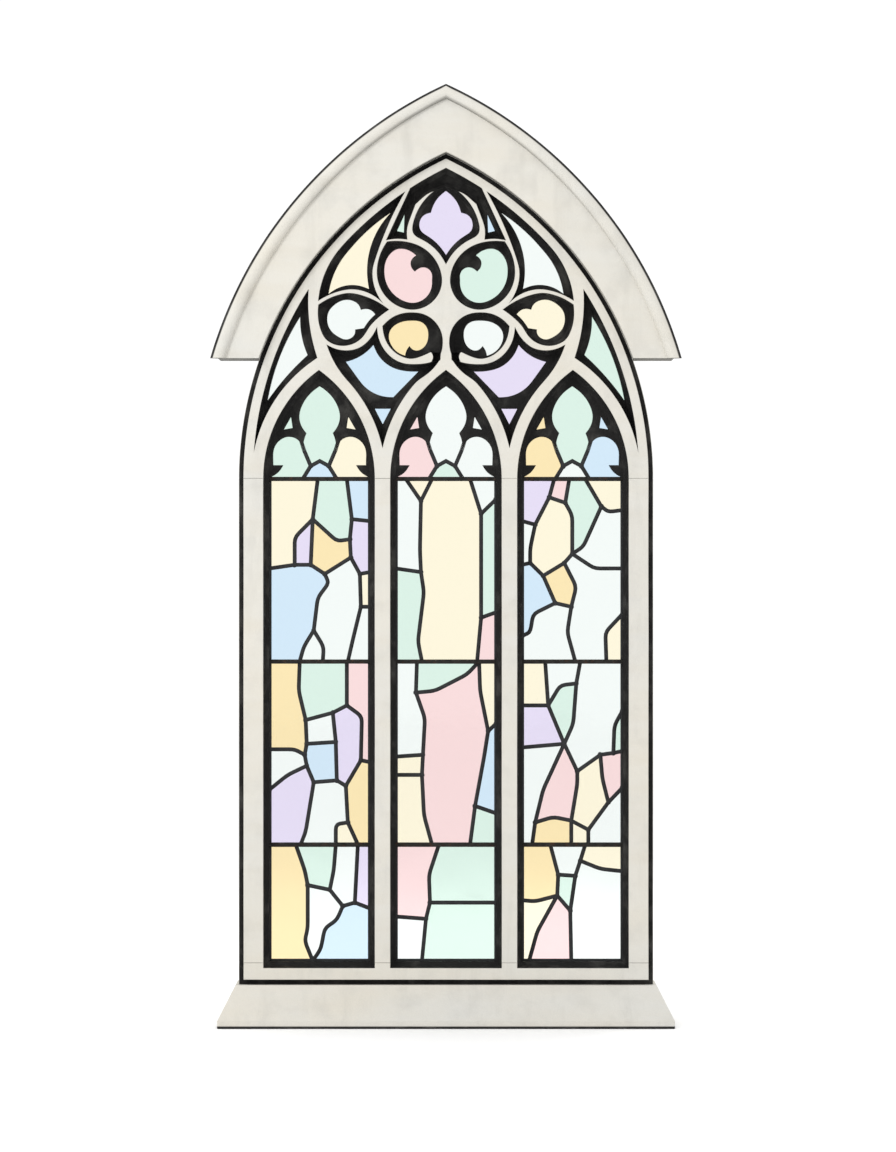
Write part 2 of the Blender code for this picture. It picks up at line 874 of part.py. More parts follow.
def make_glazing(glass, lead, home):
    for light in LIGHTS:
        axis = LIGHT_AXIS[light]
        inner, outer = HALF_LIGHT - CLEARANCE, HALF_LIGHT + REBATE - CLEARANCE
        back = CLEARANCE + GLASS_THICKNESS
        for row, (z0, z1) in panel_spans().items():
            foot = z0 - REBATE if row == "low" else z0
            ring = [(x, z) for x, z, _ in box_outline(axis - outer, axis + outer, foot, z1)]
            plate(f"glass_{light}_{row}", [ring], CLEARANCE, back, glass, home)
            box = (axis - inner, axis + inner, z0, z1)
            lead_net(f"leads_{light}_{row}", panel_routes(light, row, box), box, lead, home)
        box = (axis - inner, axis + inner, SPRING + CLEARANCE, SPRING + LIGHT_RISE)
        lead_net(f"leads_{light}_head", head_routes(axis), box, lead, home)
        arch = head_arch(axis, REBATE - CLEARANCE)
        ring = drawn(arch, pieces_of(arch))
        plate(f"glass_{light}_head", [ring], CLEARANCE, back, glass, home)


def bar_block(name, axis, middle, grow, home, finish=None):
    """A bar before the leads, or grown by a clearance its pocket."""
    half, height = HALF_LIGHT + BAR_POCKET + grow, BAR_HEIGHT / 2 + grow
    back = -LEAD_THICKNESS - CLEARANCE
    ring = [
        (x, z)
        for x, z, _ in box_outline(axis - half, axis + half, middle - height, middle + height)
    ]
    return loft(name, [(back - BAR_DEPTH - grow, ring), (back + grow, ring)], home, finish)


def make_bars(iron, home, cutters, head_cutters):
    """Bars across the lights, let into the stones on both sides; the top ones lie in the springing."""
    for light in LIGHTS:
        for row, middle in zip(("low", "high", "top"), BAR_MIDDLES):
            name = f"saddle_bar_{light}_{row}"
            axis = LIGHT_AXIS[light]
            bar_block(name, axis, middle, 0.0, home, iron)
            pocket = bar_block(f"{name}_pocket", axis, middle, CLEARANCE, cutters)
            as_cutter(pocket)
            if row == "top":
                head_cutters.objects.link(pocket)


def stone_block(name, shape, finish, home, cutters):
    ring = drawn(shape, pieces_of(shape))
    cut(loft(name, [(FRONT, ring), (BACK, ring)], home, finish), cutters)


def make_frame(stone, home, cutters, head_cutters):
    rail = box_outline(-HALF_WIDTH, HALF_WIDTH, SILL_HEIGHT + CLEARANCE, RAIL_TOP)
    stone_block("bottom_rail", rail, stone, home, cutters)
    foot = RAIL_TOP + CLEARANCE
    for side, name in ((-1, "left"), (1, "right")):
        edges = sorted((side * HALF_WIDTH, side * (HALF_WIDTH - JAMB_WIDTH)))
        stone_block(f"jamb_{name}", box_outline(*edges, foot, SPRING), stone, home, cutters)
        edges = sorted((side * HALF_LIGHT, side * (HALF_LIGHT + MULLION_WIDTH)))
        stone_block(f"mullion_{name}", box_outline(*edges, foot, SPRING), stone, home, cutters)
    stone_block("tracery", arch_over(HALF_WIDTH, ARCH_RISE), stone, home, head_cutters)


def make_margin(homes):
    """The set-back edge all round the frame."""
    shape = pointed(0.0, HALF_WIDTH, ARCH_RISE, SILL_HEIGHT + CLEARANCE)
    counts = pieces_of(shape)
    rings = [drawn(offset(shape, distance), counts) for distance in (OVERRUN, -MARGIN_WIDTH)]
    ring = plate("margin", rings, FRONT - OVERRUN, FRONT + MARGIN_DEPTH, None, homes[0])
    ring = as_cutter(as_mesh(ring, homes[0]))
    homes[1].objects.link(ring)


def make_opening(name, front, holes, glass, home, head_cutters):
    shape = outline(front)
    hollow_cutter(name, shape, TRACERY_CHAMFER, head_cutters)
    splay_cutter(name, shape, TRACERY_CHAMFER, head_cutters)
    for i, hole in enumerate(holes):
        piercing(f"{name}_cusps_{i}", outline(hole), head_cutters)
    glass_behind(f"glass_{name}", shape, TRACERY_CHAMFER, glass, home)


def make_openings(glass, home, cutters, head_cutters):
    for light in LIGHTS:
        front = offset(light_outline(light), LIGHT_CHAMFER)
        for cutter in (hollow_cutter, splay_cutter):
            head_cutters.objects.link(cutter(f"light_{light}", front, LIGHT_CHAMFER, cutters))
        axis = LIGHT_AXIS[light]
        throat = box_outline(axis - HALF_LIGHT, axis + HALF_LIGHT, RAIL_TOP, SPRING + OVERRUN)
        piercing(f"throat_{light}", throat, cutters)
        for i, shape in enumerate(head_piercings(light)):
            piercing(f"cusps_{light}_{i}", outline(shape), head_cutters)
    hollow_cutter("under_peak", outline(under_peak()), TRACERY_CHAMFER, head_cutters)
    for side, corners in (("right", beside_bulb()), ("left", mirrored(beside_bulb()))):
        hollow_cutter(f"bulb_{side}", outline(corners), BULB_CHAMFER, head_cutters)
    make_opening("soufflet", *soufflet(), glass, home, head_cutters)
    for name, opening in OPENINGS.items():
        front, holes = opening()
        make_opening(f"{name}_right", front, holes, glass, home, head_cutters)
        front, holes = mirrored(front), [mirrored(hole) for hole in holes]
        make_opening(f"{name}_left", front, holes, glass, home, head_cutters)


def hood_edge():
    """The hood's lower edge right of the axis, from its foot to the crown, along the arch's facets."""
    arch = arch_over(HALF_WIDTH, ARCH_RISE)
    grown = drawn(offset(arch, CLEARANCE), pieces_of(arch))
    edge = [point for point in grown if point[0] > CLEARANCE][HOOD_BARE_FACETS:]
    radius = ARCH_RADIUS + CLEARANCE
    edge.append((0.0, SPRING + math.sqrt(radius**2 - (ARCH_RADIUS - HALF_WIDTH) ** 2)))
    return edge


def hood_section(width):
    """The hood's moulding as (distance in from its outer edge, y)."""
    front = FRONT - HOOD_PROJECTION
    return [
        (width, BACK),
        (width, front),
        (2 * HOOD_ROLL, front),
        (2 * HOOD_ROLL, front - HOOD_ROLL / 2),
        (HOOD_ROLL, front - HOOD_ROLL),
        (0.0, front - HOOD_ROLL / 2),
        (0.0, front + HOOD_ROLL),
        (HOOD_ROLL, front + 2 * HOOD_ROLL),
        (HOOD_ROLL, BACK),
    ]


def make_hood(stone, home):
    """One moulded band over the arch, wider at the crown, with its ends cut off level."""
    edge = hood_edge()
    half, rise = HALF_WIDTH + HOOD_WIDTH, ARCH_RISE + HOOD_CROWN
    radius = (rise**2 + half**2) / (2 * half)
    foot = math.asin((edge[0][1] - SPRING) / radius)
    crown = math.acos(1 - half / radius)
    rows = []
    for k, (x, z) in enumerate(edge):
        angle = foot + (crown - foot) * k / (len(edge) - 1)
        rim_x = half - radius + radius * math.cos(angle)
        rim_z = SPRING + radius * math.sin(angle)
        width = math.dist((rim_x, rim_z), (x, z))
        across, up = (x - rim_x) / width, (z - rim_z) / width
        rows.append([(rim_x + across * d, y, rim_z + up * d) for d, y in hood_section(width)])
    rows += [[(-x, y, z) for x, y, z in row] for row in rows[-2::-1]]
    skin("hood", rows, home, stone)


def make_sill(stone, home):
    """A sill with an upright nose and a top that slopes away on all four sides."""
    foot_x, foot_y = HALF_WIDTH + SILL_OVERHANG, SILL_DEPTH / 2
    seat_x, seat_y = HALF_WIDTH + SILL_SEAT, STONE_DEPTH / 2 + SILL_SEAT
    levels = ((foot_x, foot_y, 0.0), (foot_x, foot_y, SILL_NOSE), (seat_x, seat_y, SILL_HEIGHT))
    rows = [
        [(across * x, deep * y, z) for across, deep in ((-1, -1), (1, -1), (1, 1), (-1, 1))]
        for x, y, z in levels
    ]
    skin("sill", rows, home, stone)


def main():
    clear_scene()
    home = collection("stained_glass_window")
    cutters = collection("frame_cutters")
    head_cutters = collection("head_cutters")
    stone = material("limestone", (0.62, 0.56, 0.45), 0.85)
    glass = material("cathedral_glass", (0.70, 0.80, 0.78), 0.10, transmission=0.9)
    lead = material("lead", (0.16, 0.17, 0.18), 0.55, metallic=0.8)
    iron = material("wrought_iron", (0.06, 0.055, 0.05), 0.60, metallic=0.9)
    make_sill(stone, home)
    make_margin((cutters, head_cutters))
    make_bars(iron, home, cutters, head_cutters)
    make_openings(glass, home, cutters, head_cutters)
    make_frame(stone, home, cutters, head_cutters)
    make_glazing(glass, lead, home)
    make_hood(stone, home)


main()
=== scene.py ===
"""Looks of the three-light pointed window: fine stonework, cames, panes, iron, studio and camera.

Metres, +Z up, the outer face towards -Y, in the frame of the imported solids, which every piece here
stands for. Outlines lie in the window's own plane as corners joined by straight or round sides; a
side's swell is its sagitta over its chord, and is positive where the side bulges outwards.
"""

import math

import bmesh
import bpy
import numpy as np
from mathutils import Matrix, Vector, geometry, noise


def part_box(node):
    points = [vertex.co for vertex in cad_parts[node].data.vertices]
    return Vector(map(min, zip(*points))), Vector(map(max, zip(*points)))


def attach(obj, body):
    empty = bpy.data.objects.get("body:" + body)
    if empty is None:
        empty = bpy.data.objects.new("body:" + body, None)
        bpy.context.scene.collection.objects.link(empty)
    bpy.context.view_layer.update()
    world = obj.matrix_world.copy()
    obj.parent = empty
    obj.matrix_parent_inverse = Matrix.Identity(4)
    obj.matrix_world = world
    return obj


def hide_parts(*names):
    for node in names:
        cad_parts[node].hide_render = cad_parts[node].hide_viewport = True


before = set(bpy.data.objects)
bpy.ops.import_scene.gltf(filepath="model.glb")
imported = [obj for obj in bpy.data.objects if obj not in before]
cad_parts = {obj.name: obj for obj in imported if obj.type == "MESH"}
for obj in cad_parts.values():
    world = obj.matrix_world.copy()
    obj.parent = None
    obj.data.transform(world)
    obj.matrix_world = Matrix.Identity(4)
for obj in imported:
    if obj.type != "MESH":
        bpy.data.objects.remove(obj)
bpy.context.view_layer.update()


def arch_radius(half, rise):
    """Radius of a pointed arch whose two centres are level with its springing."""
    return (rise**2 + half**2) / (2 * half)


# Driving sizes of the elevation
LIGHT_WIDTH = 0.404
MULLION_WIDTH = 0.104
JAMB_WIDTH = 0.120
SILL_HEIGHT = 0.164
RAIL_HEIGHT = 0.088
LIGHT_HEIGHT = 1.938
ARCH_RISE = 1.302
LIGHT_RISE = 0.408

# Mouldings seen from the front
MARGIN_WIDTH = 0.020
MARGIN_DEPTH = 0.030
ARCH_FILLET = 0.034
LIGHT_CHAMFER = 0.021
TRACERY_CHAMFER = 0.016
BULB_CHAMFER = 0.006
LIGHT_BAND = 0.044
REBATE = 0.008

# Depths
STONE_DEPTH = 0.220
CUSP_THICKNESS = 0.035
GLASS_THICKNESS = 0.006
LEAD_THICKNESS = 0.005

# Hood band outside the arch: its width at the springing and over the crown
HOOD_WIDTH = 0.179
HOOD_CROWN = 0.273
HOOD_PROJECTION = 0.040
HOOD_ROLL = 0.030

# Sill
SILL_NOSE = 0.030
SILL_OVERHANG = 0.080
SILL_DEPTH = 0.480
SILL_SEAT = 0.012

# Leads and iron
LEAD_WIDTH = 0.016
BAR_HEIGHT = 0.018
BAR_DEPTH = 0.024
BAR_POCKET = 0.012
LOW_BAR = 0.468
HIGH_BAR = 1.204

# Fits: CLEARANCE between touching pieces, and how far a cutter runs past the stone
CLEARANCE = 0.0003
OVERRUN = 0.020

# Limits of the arithmetic: a bulge taken as straight, the degrees of a turn taken as no corner and
# of one that is squared off, the rounds that settle a moved corner, how many distances a tip may
# go when it is moved out, what is taken as nothing, the reach of a weld and of a triangulation, the
# latter's word for triangles inside its outline alone, and the decimals of a lead's point
STRAIGHT = 1e-6
NO_CORNER = 8
SQUARED_TURN = 130
CORNER_ROUNDS = 12
TIP_REACH = 2
NOTHING = 1e-9
WELD_REACH = 1e-5
TRIANGLE_REACH = 1e-7
INSIDE_ALONE = 1
DECIMALS = 6

# Places worked out from the sizes
LIGHTS = ("left", "middle", "right")
PITCH = LIGHT_WIDTH + MULLION_WIDTH
LIGHT_AXIS = {name: (i - 1) * PITCH for i, name in enumerate(LIGHTS)}
HALF_WIDTH = (3 * LIGHT_WIDTH + 2 * MULLION_WIDTH + 2 * JAMB_WIDTH) / 2
HALF_LIGHT = LIGHT_WIDTH / 2
RAIL_TOP = SILL_HEIGHT + RAIL_HEIGHT
SPRING = RAIL_TOP + LIGHT_HEIGHT
ARCH_RADIUS = arch_radius(HALF_WIDTH, ARCH_RISE)
LIGHT_RADIUS = arch_radius(HALF_LIGHT, LIGHT_RISE)
FRONT = -STONE_DEPTH / 2
BACK = STONE_DEPTH / 2
PLATE_FRONT = -CUSP_THICKNESS
INNER_RADIUS = ARCH_RADIUS - MARGIN_WIDTH - ARCH_FILLET
BAND_RADIUS = LIGHT_RADIUS + LIGHT_CHAMFER + LIGHT_BAND
BAND_CROWN = math.sqrt(BAND_RADIUS**2 - (LIGHT_RADIUS - HALF_LIGHT) ** 2)
BAR_MIDDLES = (RAIL_TOP + LOW_BAR, RAIL_TOP + HIGH_BAR, SPRING)

# Fine surface: spacing of points along a moulding, how many go round its hollow, what counts as a
# corner, and how much is eased
POINT_STEP = 0.010
HOLLOW_POINTS = 10
SHARP_CORNER = 0.86
EASING_ROUNDS = 5
ARRIS = 0.0025
CUSP_ARRIS = 0.0025
HOLLOW_FILLET = 0.010
HOLLOW_LIP = 0.010
JOINT_EDGE = 0.0015
POCKET_GAP = 0.001
STONE_WOBBLE = 0.0006
SILL_EDGE = 0.004
SILL_GRAIN = 0.05
SILL_CUTS = 5

# Hood's roll: the degrees at which it leaves the face, points round it, and round the cove behind it
HOOD_ROWS = 60
HOOD_ROLL_FOOT = 22
ROLL_POINTS = 13
COVE_POINTS = 7

# Waves of a dressed surface, to the metre, the close ones' share of the broad ones' depth, and the
# seed without which the noise differs from run to run
BROAD_WAVES = 2.3
CLOSE_WAVES = 11.0
CLOSE_SHARE = 0.35
NOISE_SEED = 7

# Leads, glass and iron up close. HEAD_BEND and HEAD_END are the steps (across, up) of a hidden lead.
# SOLDER_WAVES and PANE_WAVES are to the metre, the latter before and behind. The seeds part what the
# noise gives to the panels, to their panes, and to each pane's two faces and its tilt.
LEAD_HEART = 0.0012
LEAF_ROUND = 0.7
LEAF_EDGE = 0.0008
LEAD_BEND = 0.022
BEND_SHARE = 0.35
BEND_POINTS = 4
SOLDER_RADIUS = 0.0105
SOLDER_REACH = 0.013
SOLDER_DEPTH = 0.0022
SOLDER_RISE = 0.0036
SOLDER_WAVES = (40, 30)
SOLDER_SPREAD = 0.16
SOLDER_LEAN = 0.12
SOLDER_SEED = 5.0
HEAD_BEND = (0.032, 0.101)
HEAD_END = (0.018, 0.073)
GLASS_PLAY = 0.0006
PANE_THICKNESS = 0.0036
PANE_SET = 0.0010
PANE_GRAIN = 0.024
PANE_WAVE = 0.0005
PANE_WAVES = (9, 8)
PANE_TILT = 0.003
PANEL_SEED = 13.7
PANE_SEED = 2.3
FACE_SEED = 7.0
TILT_SEED = 1.7
TILT_PLACE = (3.1, 0.4)
BAR_PIECES = 24
BAR_CORNER = 0.003
IRON_WOBBLE = 0.0005

# Where the glass and the bars lie
GLASS_BACK = GLASS_THICKNESS + 2 * CLEARANCE
BAR_BACK = -LEAD_THICKNESS - CLEARANCE

# Painted shade, near black, where the stone lies behind its front face: how far behind a face, and how
# far inside the frame's outline, it starts and is full, and how much of it lies behind the glass
PAINTED_SHADE_START = 0.0012
PAINTED_SHADE_FULL = 0.005
RIM_START = 0.0008
RIM_FULL = 0.0018
INDOOR_PAINTED_SHADE = 0.12

# Painted shade too: in part on what faces this far down, and on the hood's roll where it turns this far
# outwards; and the sill darkened towards the bottom, fully up to the first height and not past the
# second
UNDERSIDE = (-0.5, -0.95)
UNDERSIDE_PAINTED_SHADE = 0.7
HOOD_TURN = (0.58, 0.70)
SILL_FOOT_BAND = (0.008, 0.013)

# Colours, all guessed, because the drawing has none
STONE_WARM = (0.66, 0.63, 0.56)
STONE_COOL = (0.63, 0.62, 0.58)
STONE_BUFF = (0.58, 0.52, 0.41)
STONE_GREY = (0.42, 0.41, 0.38)
STONE_SHELL = (0.80, 0.78, 0.72)
STONE_STAIN = (0.36, 0.35, 0.32)
# Painted shade's near-black colours: for the stone where it is set back, faces down or turns away, and
# for the sill's foot
PAINTED_SHADE_DARK = (0.006, 0.006, 0.006)
PAINTED_SHADE_PALE = (0.020, 0.019, 0.018)
LEAD_DARK = (0.010, 0.010, 0.011)
LEAD_LIGHT = (0.028, 0.029, 0.031)
LEAD_BLOOM = (0.075, 0.076, 0.078)
IRON_DARK = (0.010, 0.010, 0.009)
IRON_LIGHT = (0.034, 0.031, 0.028)
IRON_RUST = (0.075, 0.030, 0.014)
GLASS_ROUGHNESS = 0.06
TINTS = (
    ("clear", (0.86, 0.91, 0.89)),
    ("straw", (0.94, 0.88, 0.68)),
    ("amber", (0.92, 0.76, 0.43)),
    ("sea", (0.67, 0.84, 0.75)),
    ("sky", (0.61, 0.77, 0.90)),
    ("rose", (0.90, 0.68, 0.68)),
    ("lilac", (0.75, 0.69, 0.87)),
)
TINT_ORDER = (0, 1, 3, 0, 4, 2, 0, 5, 1, 3, 6)

# Studio: each lamp's place, its size and its watts, and the point that both lamps face
STAGE_HALF = 40.0
STAGE_COLOUR = (0.97, 0.97, 0.97)
STAGE_ROUGHNESS = 0.9
LAMPS = {
    "key": ((-4.6, -6.5, 6.4), 2.6, 260.0),
    "back": ((4.2, 6.5, 5.6), 3.2, 120.0),
}
LAMP_AIM = (0.0, 0.0, 1.9)
SKY_STRENGTH = 1.06

# View: the drawing's own margins, with its middle level with VIEW_MIDDLE's (x, z)
LENS = 150.0
SENSOR = 36.0
VIEW_HEIGHT = 4.608
VIEW_MIDDLE = (0.008, 1.800)


# Outlines: lists of (x, z, bulge), anticlockwise seen from the front, bulge = tan(turn / 4)


def outline(corners):
    """Corners as (x, z, swell), in either direction, made one anticlockwise outline."""
    ring = [(x, z) for x, z, _ in corners]
    swells = [swell for _, _, swell in corners]
    area = sum(a[0] * b[1] - b[0] * a[1] for a, b in zip(ring, ring[1:] + ring[:1]))
    if area < 0:
        ring = ring[::-1]
        swells = swells[-2::-1] + swells[-1:]
    return [(x, z, 2 * swell) for (x, z), swell in zip(ring, swells)]


def sides(shape):
    return list(zip(shape, shape[1:] + shape[:1]))


def is_round(start):
    return abs(start[2]) >= STRAIGHT


def centre_of(start, end):
    """Centre and radius of a round side."""
    x, z, bulge = start
    dx, dz = end[0] - x, end[1] - z
    reach = (1 - bulge**2) / (4 * bulge)
    centre = (x + dx / 2 - dz * reach, z + dz / 2 + dx * reach)
    return centre, math.dist(centre, (x, z))


def away(start, end, point):
    """Unit vector out of the outline at a point of one side."""
    if not is_round(start):
        dx, dz = end[0] - start[0], end[1] - start[1]
        length = math.hypot(dx, dz)
        return dz / length, -dx / length
    centre, radius = centre_of(start, end)
    sign = math.copysign(1 / radius, start[2])
    return (point[0] - centre[0]) * sign, (point[1] - centre[1]) * sign


def height_over(start, end, point, distance):
    """How far a point lies outside one side that is moved out by distance."""
    if not is_round(start):
        nx, nz = away(start, end, point)
        return (point[0] - start[0]) * nx + (point[1] - start[1]) * nz - distance
    centre, radius = centre_of(start, end)
    sign = math.copysign(1, start[2])
    return (math.dist(point, centre) - radius) * sign - distance


def slope_at(start, end, point):
    """Unit vector along which height_over grows."""
    if not is_round(start):
        return away(start, end, point)
    centre, _ = centre_of(start, end)
    length = math.dist(point, centre) * math.copysign(1, start[2])
    return (point[0] - centre[0]) / length, (point[1] - centre[1]) / length


def moved_corner(before, after, distance):
    """Where two neighbouring sides meet once both are moved out by distance; a long tip is blunted."""
    corner = point = after[0][:2]
    na, nb = away(*before, point), away(*after, point)
    out = Vector((na[0] + nb[0], na[1] + nb[1])).normalized() * TIP_REACH * distance
    along = na[0] * nb[0] + na[1] * nb[1]
    if along > math.cos(math.radians(NO_CORNER)):
        return point[0] + nb[0] * distance, point[1] + nb[1] * distance
    reach = distance / (1 + along)
    point = (point[0] + (na[0] + nb[0]) * reach, point[1] + (na[1] + nb[1]) * reach)
    for _ in range(CORNER_ROUNDS):
        na, nb = slope_at(*before, point), slope_at(*after, point)
        ha = height_over(*before, point, distance)
        hb = height_over(*after, point, distance)
        cross = na[0] * nb[1] - na[1] * nb[0]
        point = (
            point[0] - (ha * nb[1] - hb * na[1]) / cross,
            point[1] - (hb * na[0] - ha * nb[0]) / cross,
        )
    if distance > 0 and math.dist(point, corner) > out.length:
        return corner[0] + out.x, corner[1] + out.y
    return point


def turn_of(start, end, centre, bulge):
    first = math.atan2(start[1] - centre[1], start[0] - centre[0])
    last = math.atan2(end[1] - centre[1], end[0] - centre[0])
    if bulge > 0:
        return first, (last - first) % (2 * math.pi)
    return first, -((first - last) % (2 * math.pi))


def offset(shape, distance):
    """The outline moved out by distance, or in where that is negative."""
    edges = sides(shape)
    corners = [moved_corner(edges[i - 1], edges[i], distance) for i in range(len(edges))]
    moved = []
    for i, (start, end) in enumerate(edges):
        here, there = corners[i], corners[(i + 1) % len(corners)]
        bulge = 0.0
        if is_round(start):
            centre, _ = centre_of(start, end)
            _, turn = turn_of(here, there, centre, start[2])
            bulge = math.tan(turn / 4)
        moved.append((*here, bulge))
    return moved


def swell_along(start, end, radius):
    """Swell of a side that keeps a known radius."""
    chord = math.dist(start, end)
    return (radius - math.sqrt(radius**2 - chord**2 / 4)) / chord


def mirrored(corners):
    return [(-x, z, swell) for x, z, swell in corners]


def both_halves(half):
    """A half from the axis at the top to the axis at the bottom, with its mirror image."""
    other = [(-half[i + 1][0], half[i + 1][1], half[i][2]) for i in range(len(half) - 2, -1, -1)]
    return half[:-1] + other


# Solids


def box_outline(x0, x1, z0, z1):
    return [(x0, z0, 0.0), (x1, z0, 0.0), (x1, z1, 0.0), (x0, z1, 0.0)]


def counts_of(shape):
    """How many short pieces each side is drawn with."""
    counts = []
    for start, end in sides(shape):
        length = math.dist(start[:2], end[:2])
        if is_round(start):
            half_turn = 2 * math.atan(abs(start[2]))
            length *= half_turn / math.sin(half_turn)
        counts.append(max(1, math.ceil(length / POINT_STEP)))
    return counts


def drawn(shape, counts):
    """The outline's points, each side in its own number of pieces."""
    points = []
    for (start, end), count in zip(sides(shape), counts):
        x, z, bulge = start
        if is_round(start):
            (x, z), radius = centre_of(start, end)
            first, turn = turn_of(start, end, (x, z), bulge)
            angles = [first + turn * k / count for k in range(count)]
            points += [(x + radius * math.cos(a), z + radius * math.sin(a)) for a in angles]
        else:
            parts = [k / count for k in range(count)]
            points += [(x + (end[0] - x) * part, z + (end[1] - z) * part) for part in parts]
    return points


def sharp_points(shape, counts):
    """Which drawn points are true corners, and so stay as they are when the rest is eased."""
    edges = sides(shape)
    sharp = []
    for i, count in enumerate(counts):
        point = shape[i][:2]
        na, nb = away(*edges[i - 1], point), away(*edges[i], point)
        sharp.append(na[0] * nb[0] + na[1] * nb[1] < SHARP_CORNER)
        sharp += [False] * (count - 1)
    return np.array(sharp)


def eased(points, sharp):
    """Points drawn smoother, except at true corners."""
    ring = np.array(points)
    for _ in range(EASING_ROUNDS):
        middle = (np.roll(ring, 1, axis=0) + 2 * ring + np.roll(ring, -1, axis=0)) / 4
        ring = np.where(sharp[:, None], ring, middle)
    return ring


def rings_along(shape, profile):
    """One eased ring for each (distance out of the outline, y) of a moulding's profile."""
    counts = counts_of(shape)
    sharp = sharp_points(shape, counts)
    made = []
    for distance, y in profile:
        moved = offset(shape, distance) if abs(distance) > NOTHING else shape
        ring = eased(drawn(moved, counts), sharp)
        made.append([(x, y, z) for x, z in ring])
    return made


def mesh_object(name, points, faces, finish=None):
    mesh = bpy.data.meshes.new(name)
    mesh.from_pydata(points, [], faces)
    shape = bmesh.new()
    shape.from_mesh(mesh)
    bmesh.ops.remove_doubles(shape, verts=shape.verts, dist=WELD_REACH)
    bmesh.ops.recalc_face_normals(shape, faces=shape.faces)
    shape.to_mesh(mesh)
    shape.free()
    made = bpy.data.objects.new(name, mesh)
    bpy.context.scene.collection.objects.link(made)
    if finish:
        mesh.materials.append(finish)
    return made


def solid_between(name, rings, finish=None, closed=False):
    """A solid skinned over rings of equal length, capped at its ends or closed on itself."""
    size = len(rings[0])
    points = [point for ring in rings for point in ring]
    faces = []
    for r in range(len(rings) if closed else len(rings) - 1):
        near, far = r * size, (r + 1) % len(rings) * size
        for i in range(size):
            j = (i + 1) % size
            faces.append((near + i, far + i, far + j, near + j))
    if not closed:
        faces.append(tuple(range(size)))
        faces.append(tuple(reversed(range((len(rings) - 1) * size, len(rings) * size))))
    return mesh_object(name, points, faces, finish)


def quarter_round(radius, y, way):
    """A rounded arris from a flat face at y to the moulding's edge; way is +1 from the front."""
    return [
        (radius * (1 - math.sin(a)), y + way * radius * (1 - math.cos(a)))
        for a in np.radians((0, 30, 60, 90))
    ]


def hollow_profile(chamfer):
    """From the front face back to the cusps: arris, fillet, hollow and a small bead's edge."""
    first, last = FRONT + HOLLOW_FILLET, PLATE_FRONT - HOLLOW_LIP
    hollow = [
        (chamfer * (math.cos(a) - 1), first + (last - first) * math.sin(a))
        for a in np.radians(np.linspace(0, 90, HOLLOW_POINTS))
    ]
    return [
        (ARRIS, FRONT - OVERRUN),
        *quarter_round(ARRIS, FRONT, 1),
        *hollow,
        (-chamfer, PLATE_FRONT),
    ]


def splay_profile(chamfer):
    """From the rebate behind the glass out to the back face."""
    return [
        (REBATE - chamfer, 0.0),
        *quarter_round(ARRIS, BACK, -1)[::-1],
        (ARRIS, BACK + OVERRUN),
    ]


def piercing_profile():
    """Through the cusped plate, with an arris that is rounded on the outer side."""
    middle = CUSP_THICKNESS / 2
    return [
        (CUSP_ARRIS, PLATE_FRONT - middle),
        *quarter_round(CUSP_ARRIS, PLATE_FRONT, 1),
        (0.0, middle),
    ]


def margin_profile():
    """The loop round the set-back edge of the frame, cut away all round it."""
    return [
        (OVERRUN, FRONT - OVERRUN),
        (OVERRUN, FRONT + MARGIN_DEPTH),
        (-MARGIN_WIDTH, FRONT + MARGIN_DEPTH),
        *[(-MARGIN_WIDTH - d, y) for d, y in quarter_round(ARRIS, FRONT, 1)[::-1]],
        (-MARGIN_WIDTH - ARRIS, FRONT - OVERRUN),
    ]


def cut_away(obj, cutters):
    """The object less all the cutters, as a mesh of its own."""
    home = bpy.data.collections.new(f"{obj.name}_cutters")
    for cutter in cutters:
        home.objects.link(cutter)
    modifier = obj.modifiers.new("openings", "BOOLEAN")
    modifier.operation = "DIFFERENCE"
    modifier.solver = "MANIFOLD"
    modifier.operand_type = "COLLECTION"
    modifier.collection = home
    applied(obj)
    bpy.data.collections.remove(home)


def applied(obj):
    """Puts what the modifiers make into the object's own mesh."""
    bpy.context.view_layer.update()
    graph = bpy.context.evaluated_depsgraph_get()
    mesh = bpy.data.meshes.new_from_object(obj.evaluated_get(graph))
    mesh.name = obj.name
    obj.modifiers.clear()
    obj.data = mesh


def hand_dressed(obj, depth, node):
    """Moves a dressed stone's or a forging's surface slightly, but never out of its node's box."""
    low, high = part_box(node)
    for vertex in obj.data.vertices:
        broad = noise.noise_vector(vertex.co * BROAD_WAVES) * depth
        close = noise.noise_vector(vertex.co * CLOSE_WAVES) * depth * CLOSE_SHARE
        moved = vertex.co + broad + close
        vertex.co = [min(max(value, a), b) for value, a, b in zip(moved, low, high)]


def shaded(obj, angle=32):
    mesh = obj.data
    mesh.shade_smooth()
    mesh.set_sharp_from_angle(angle=math.radians(angle))
    weighted = obj.modifiers.new("face_weighted_shading", "WEIGHTED_NORMAL")
    weighted.keep_sharp = True


def dressed(obj, slot, *nodes):
    """Makes a piece stand for its CAD nodes."""
    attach(obj, "root")
    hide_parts(*nodes)


# Stone


def eased_edges(obj, width, segments):
    bevel = obj.modifiers.new("worn_edges", "BEVEL")
    bevel.width = width
    bevel.segments = segments
    bevel.limit_method = "ANGLE"
    bevel.angle_limit = math.radians(50)
    applied(obj)


def block(name, shape, finish):
    """A squared or arched stone through the whole depth of the frame, with worn edges."""
    ring = drawn(shape, counts_of(shape))
    made = solid_between(name, [[(x, y, z) for x, z in ring] for y in (FRONT, BACK)], finish)
    eased_edges(made, JOINT_EDGE, 1)
    return made


def bored(name, front, chamfer):
    """An opening's cutters before and behind the cusps, from its edge on the front face."""
    return [
        solid_between(f"{name}_{part}_cutter", rings_along(front, profile(chamfer)))
        for part, profile in (("hollow", hollow_profile), ("splay", splay_profile))
    ]


def pierced(name, holes):
    """The cutters of an opening's cusped piercings."""
    return [
        solid_between(f"{name}_cusps_{i}_cutter", rings_along(outline(hole), piercing_profile()))
        for i, hole in enumerate(holes)
    ]


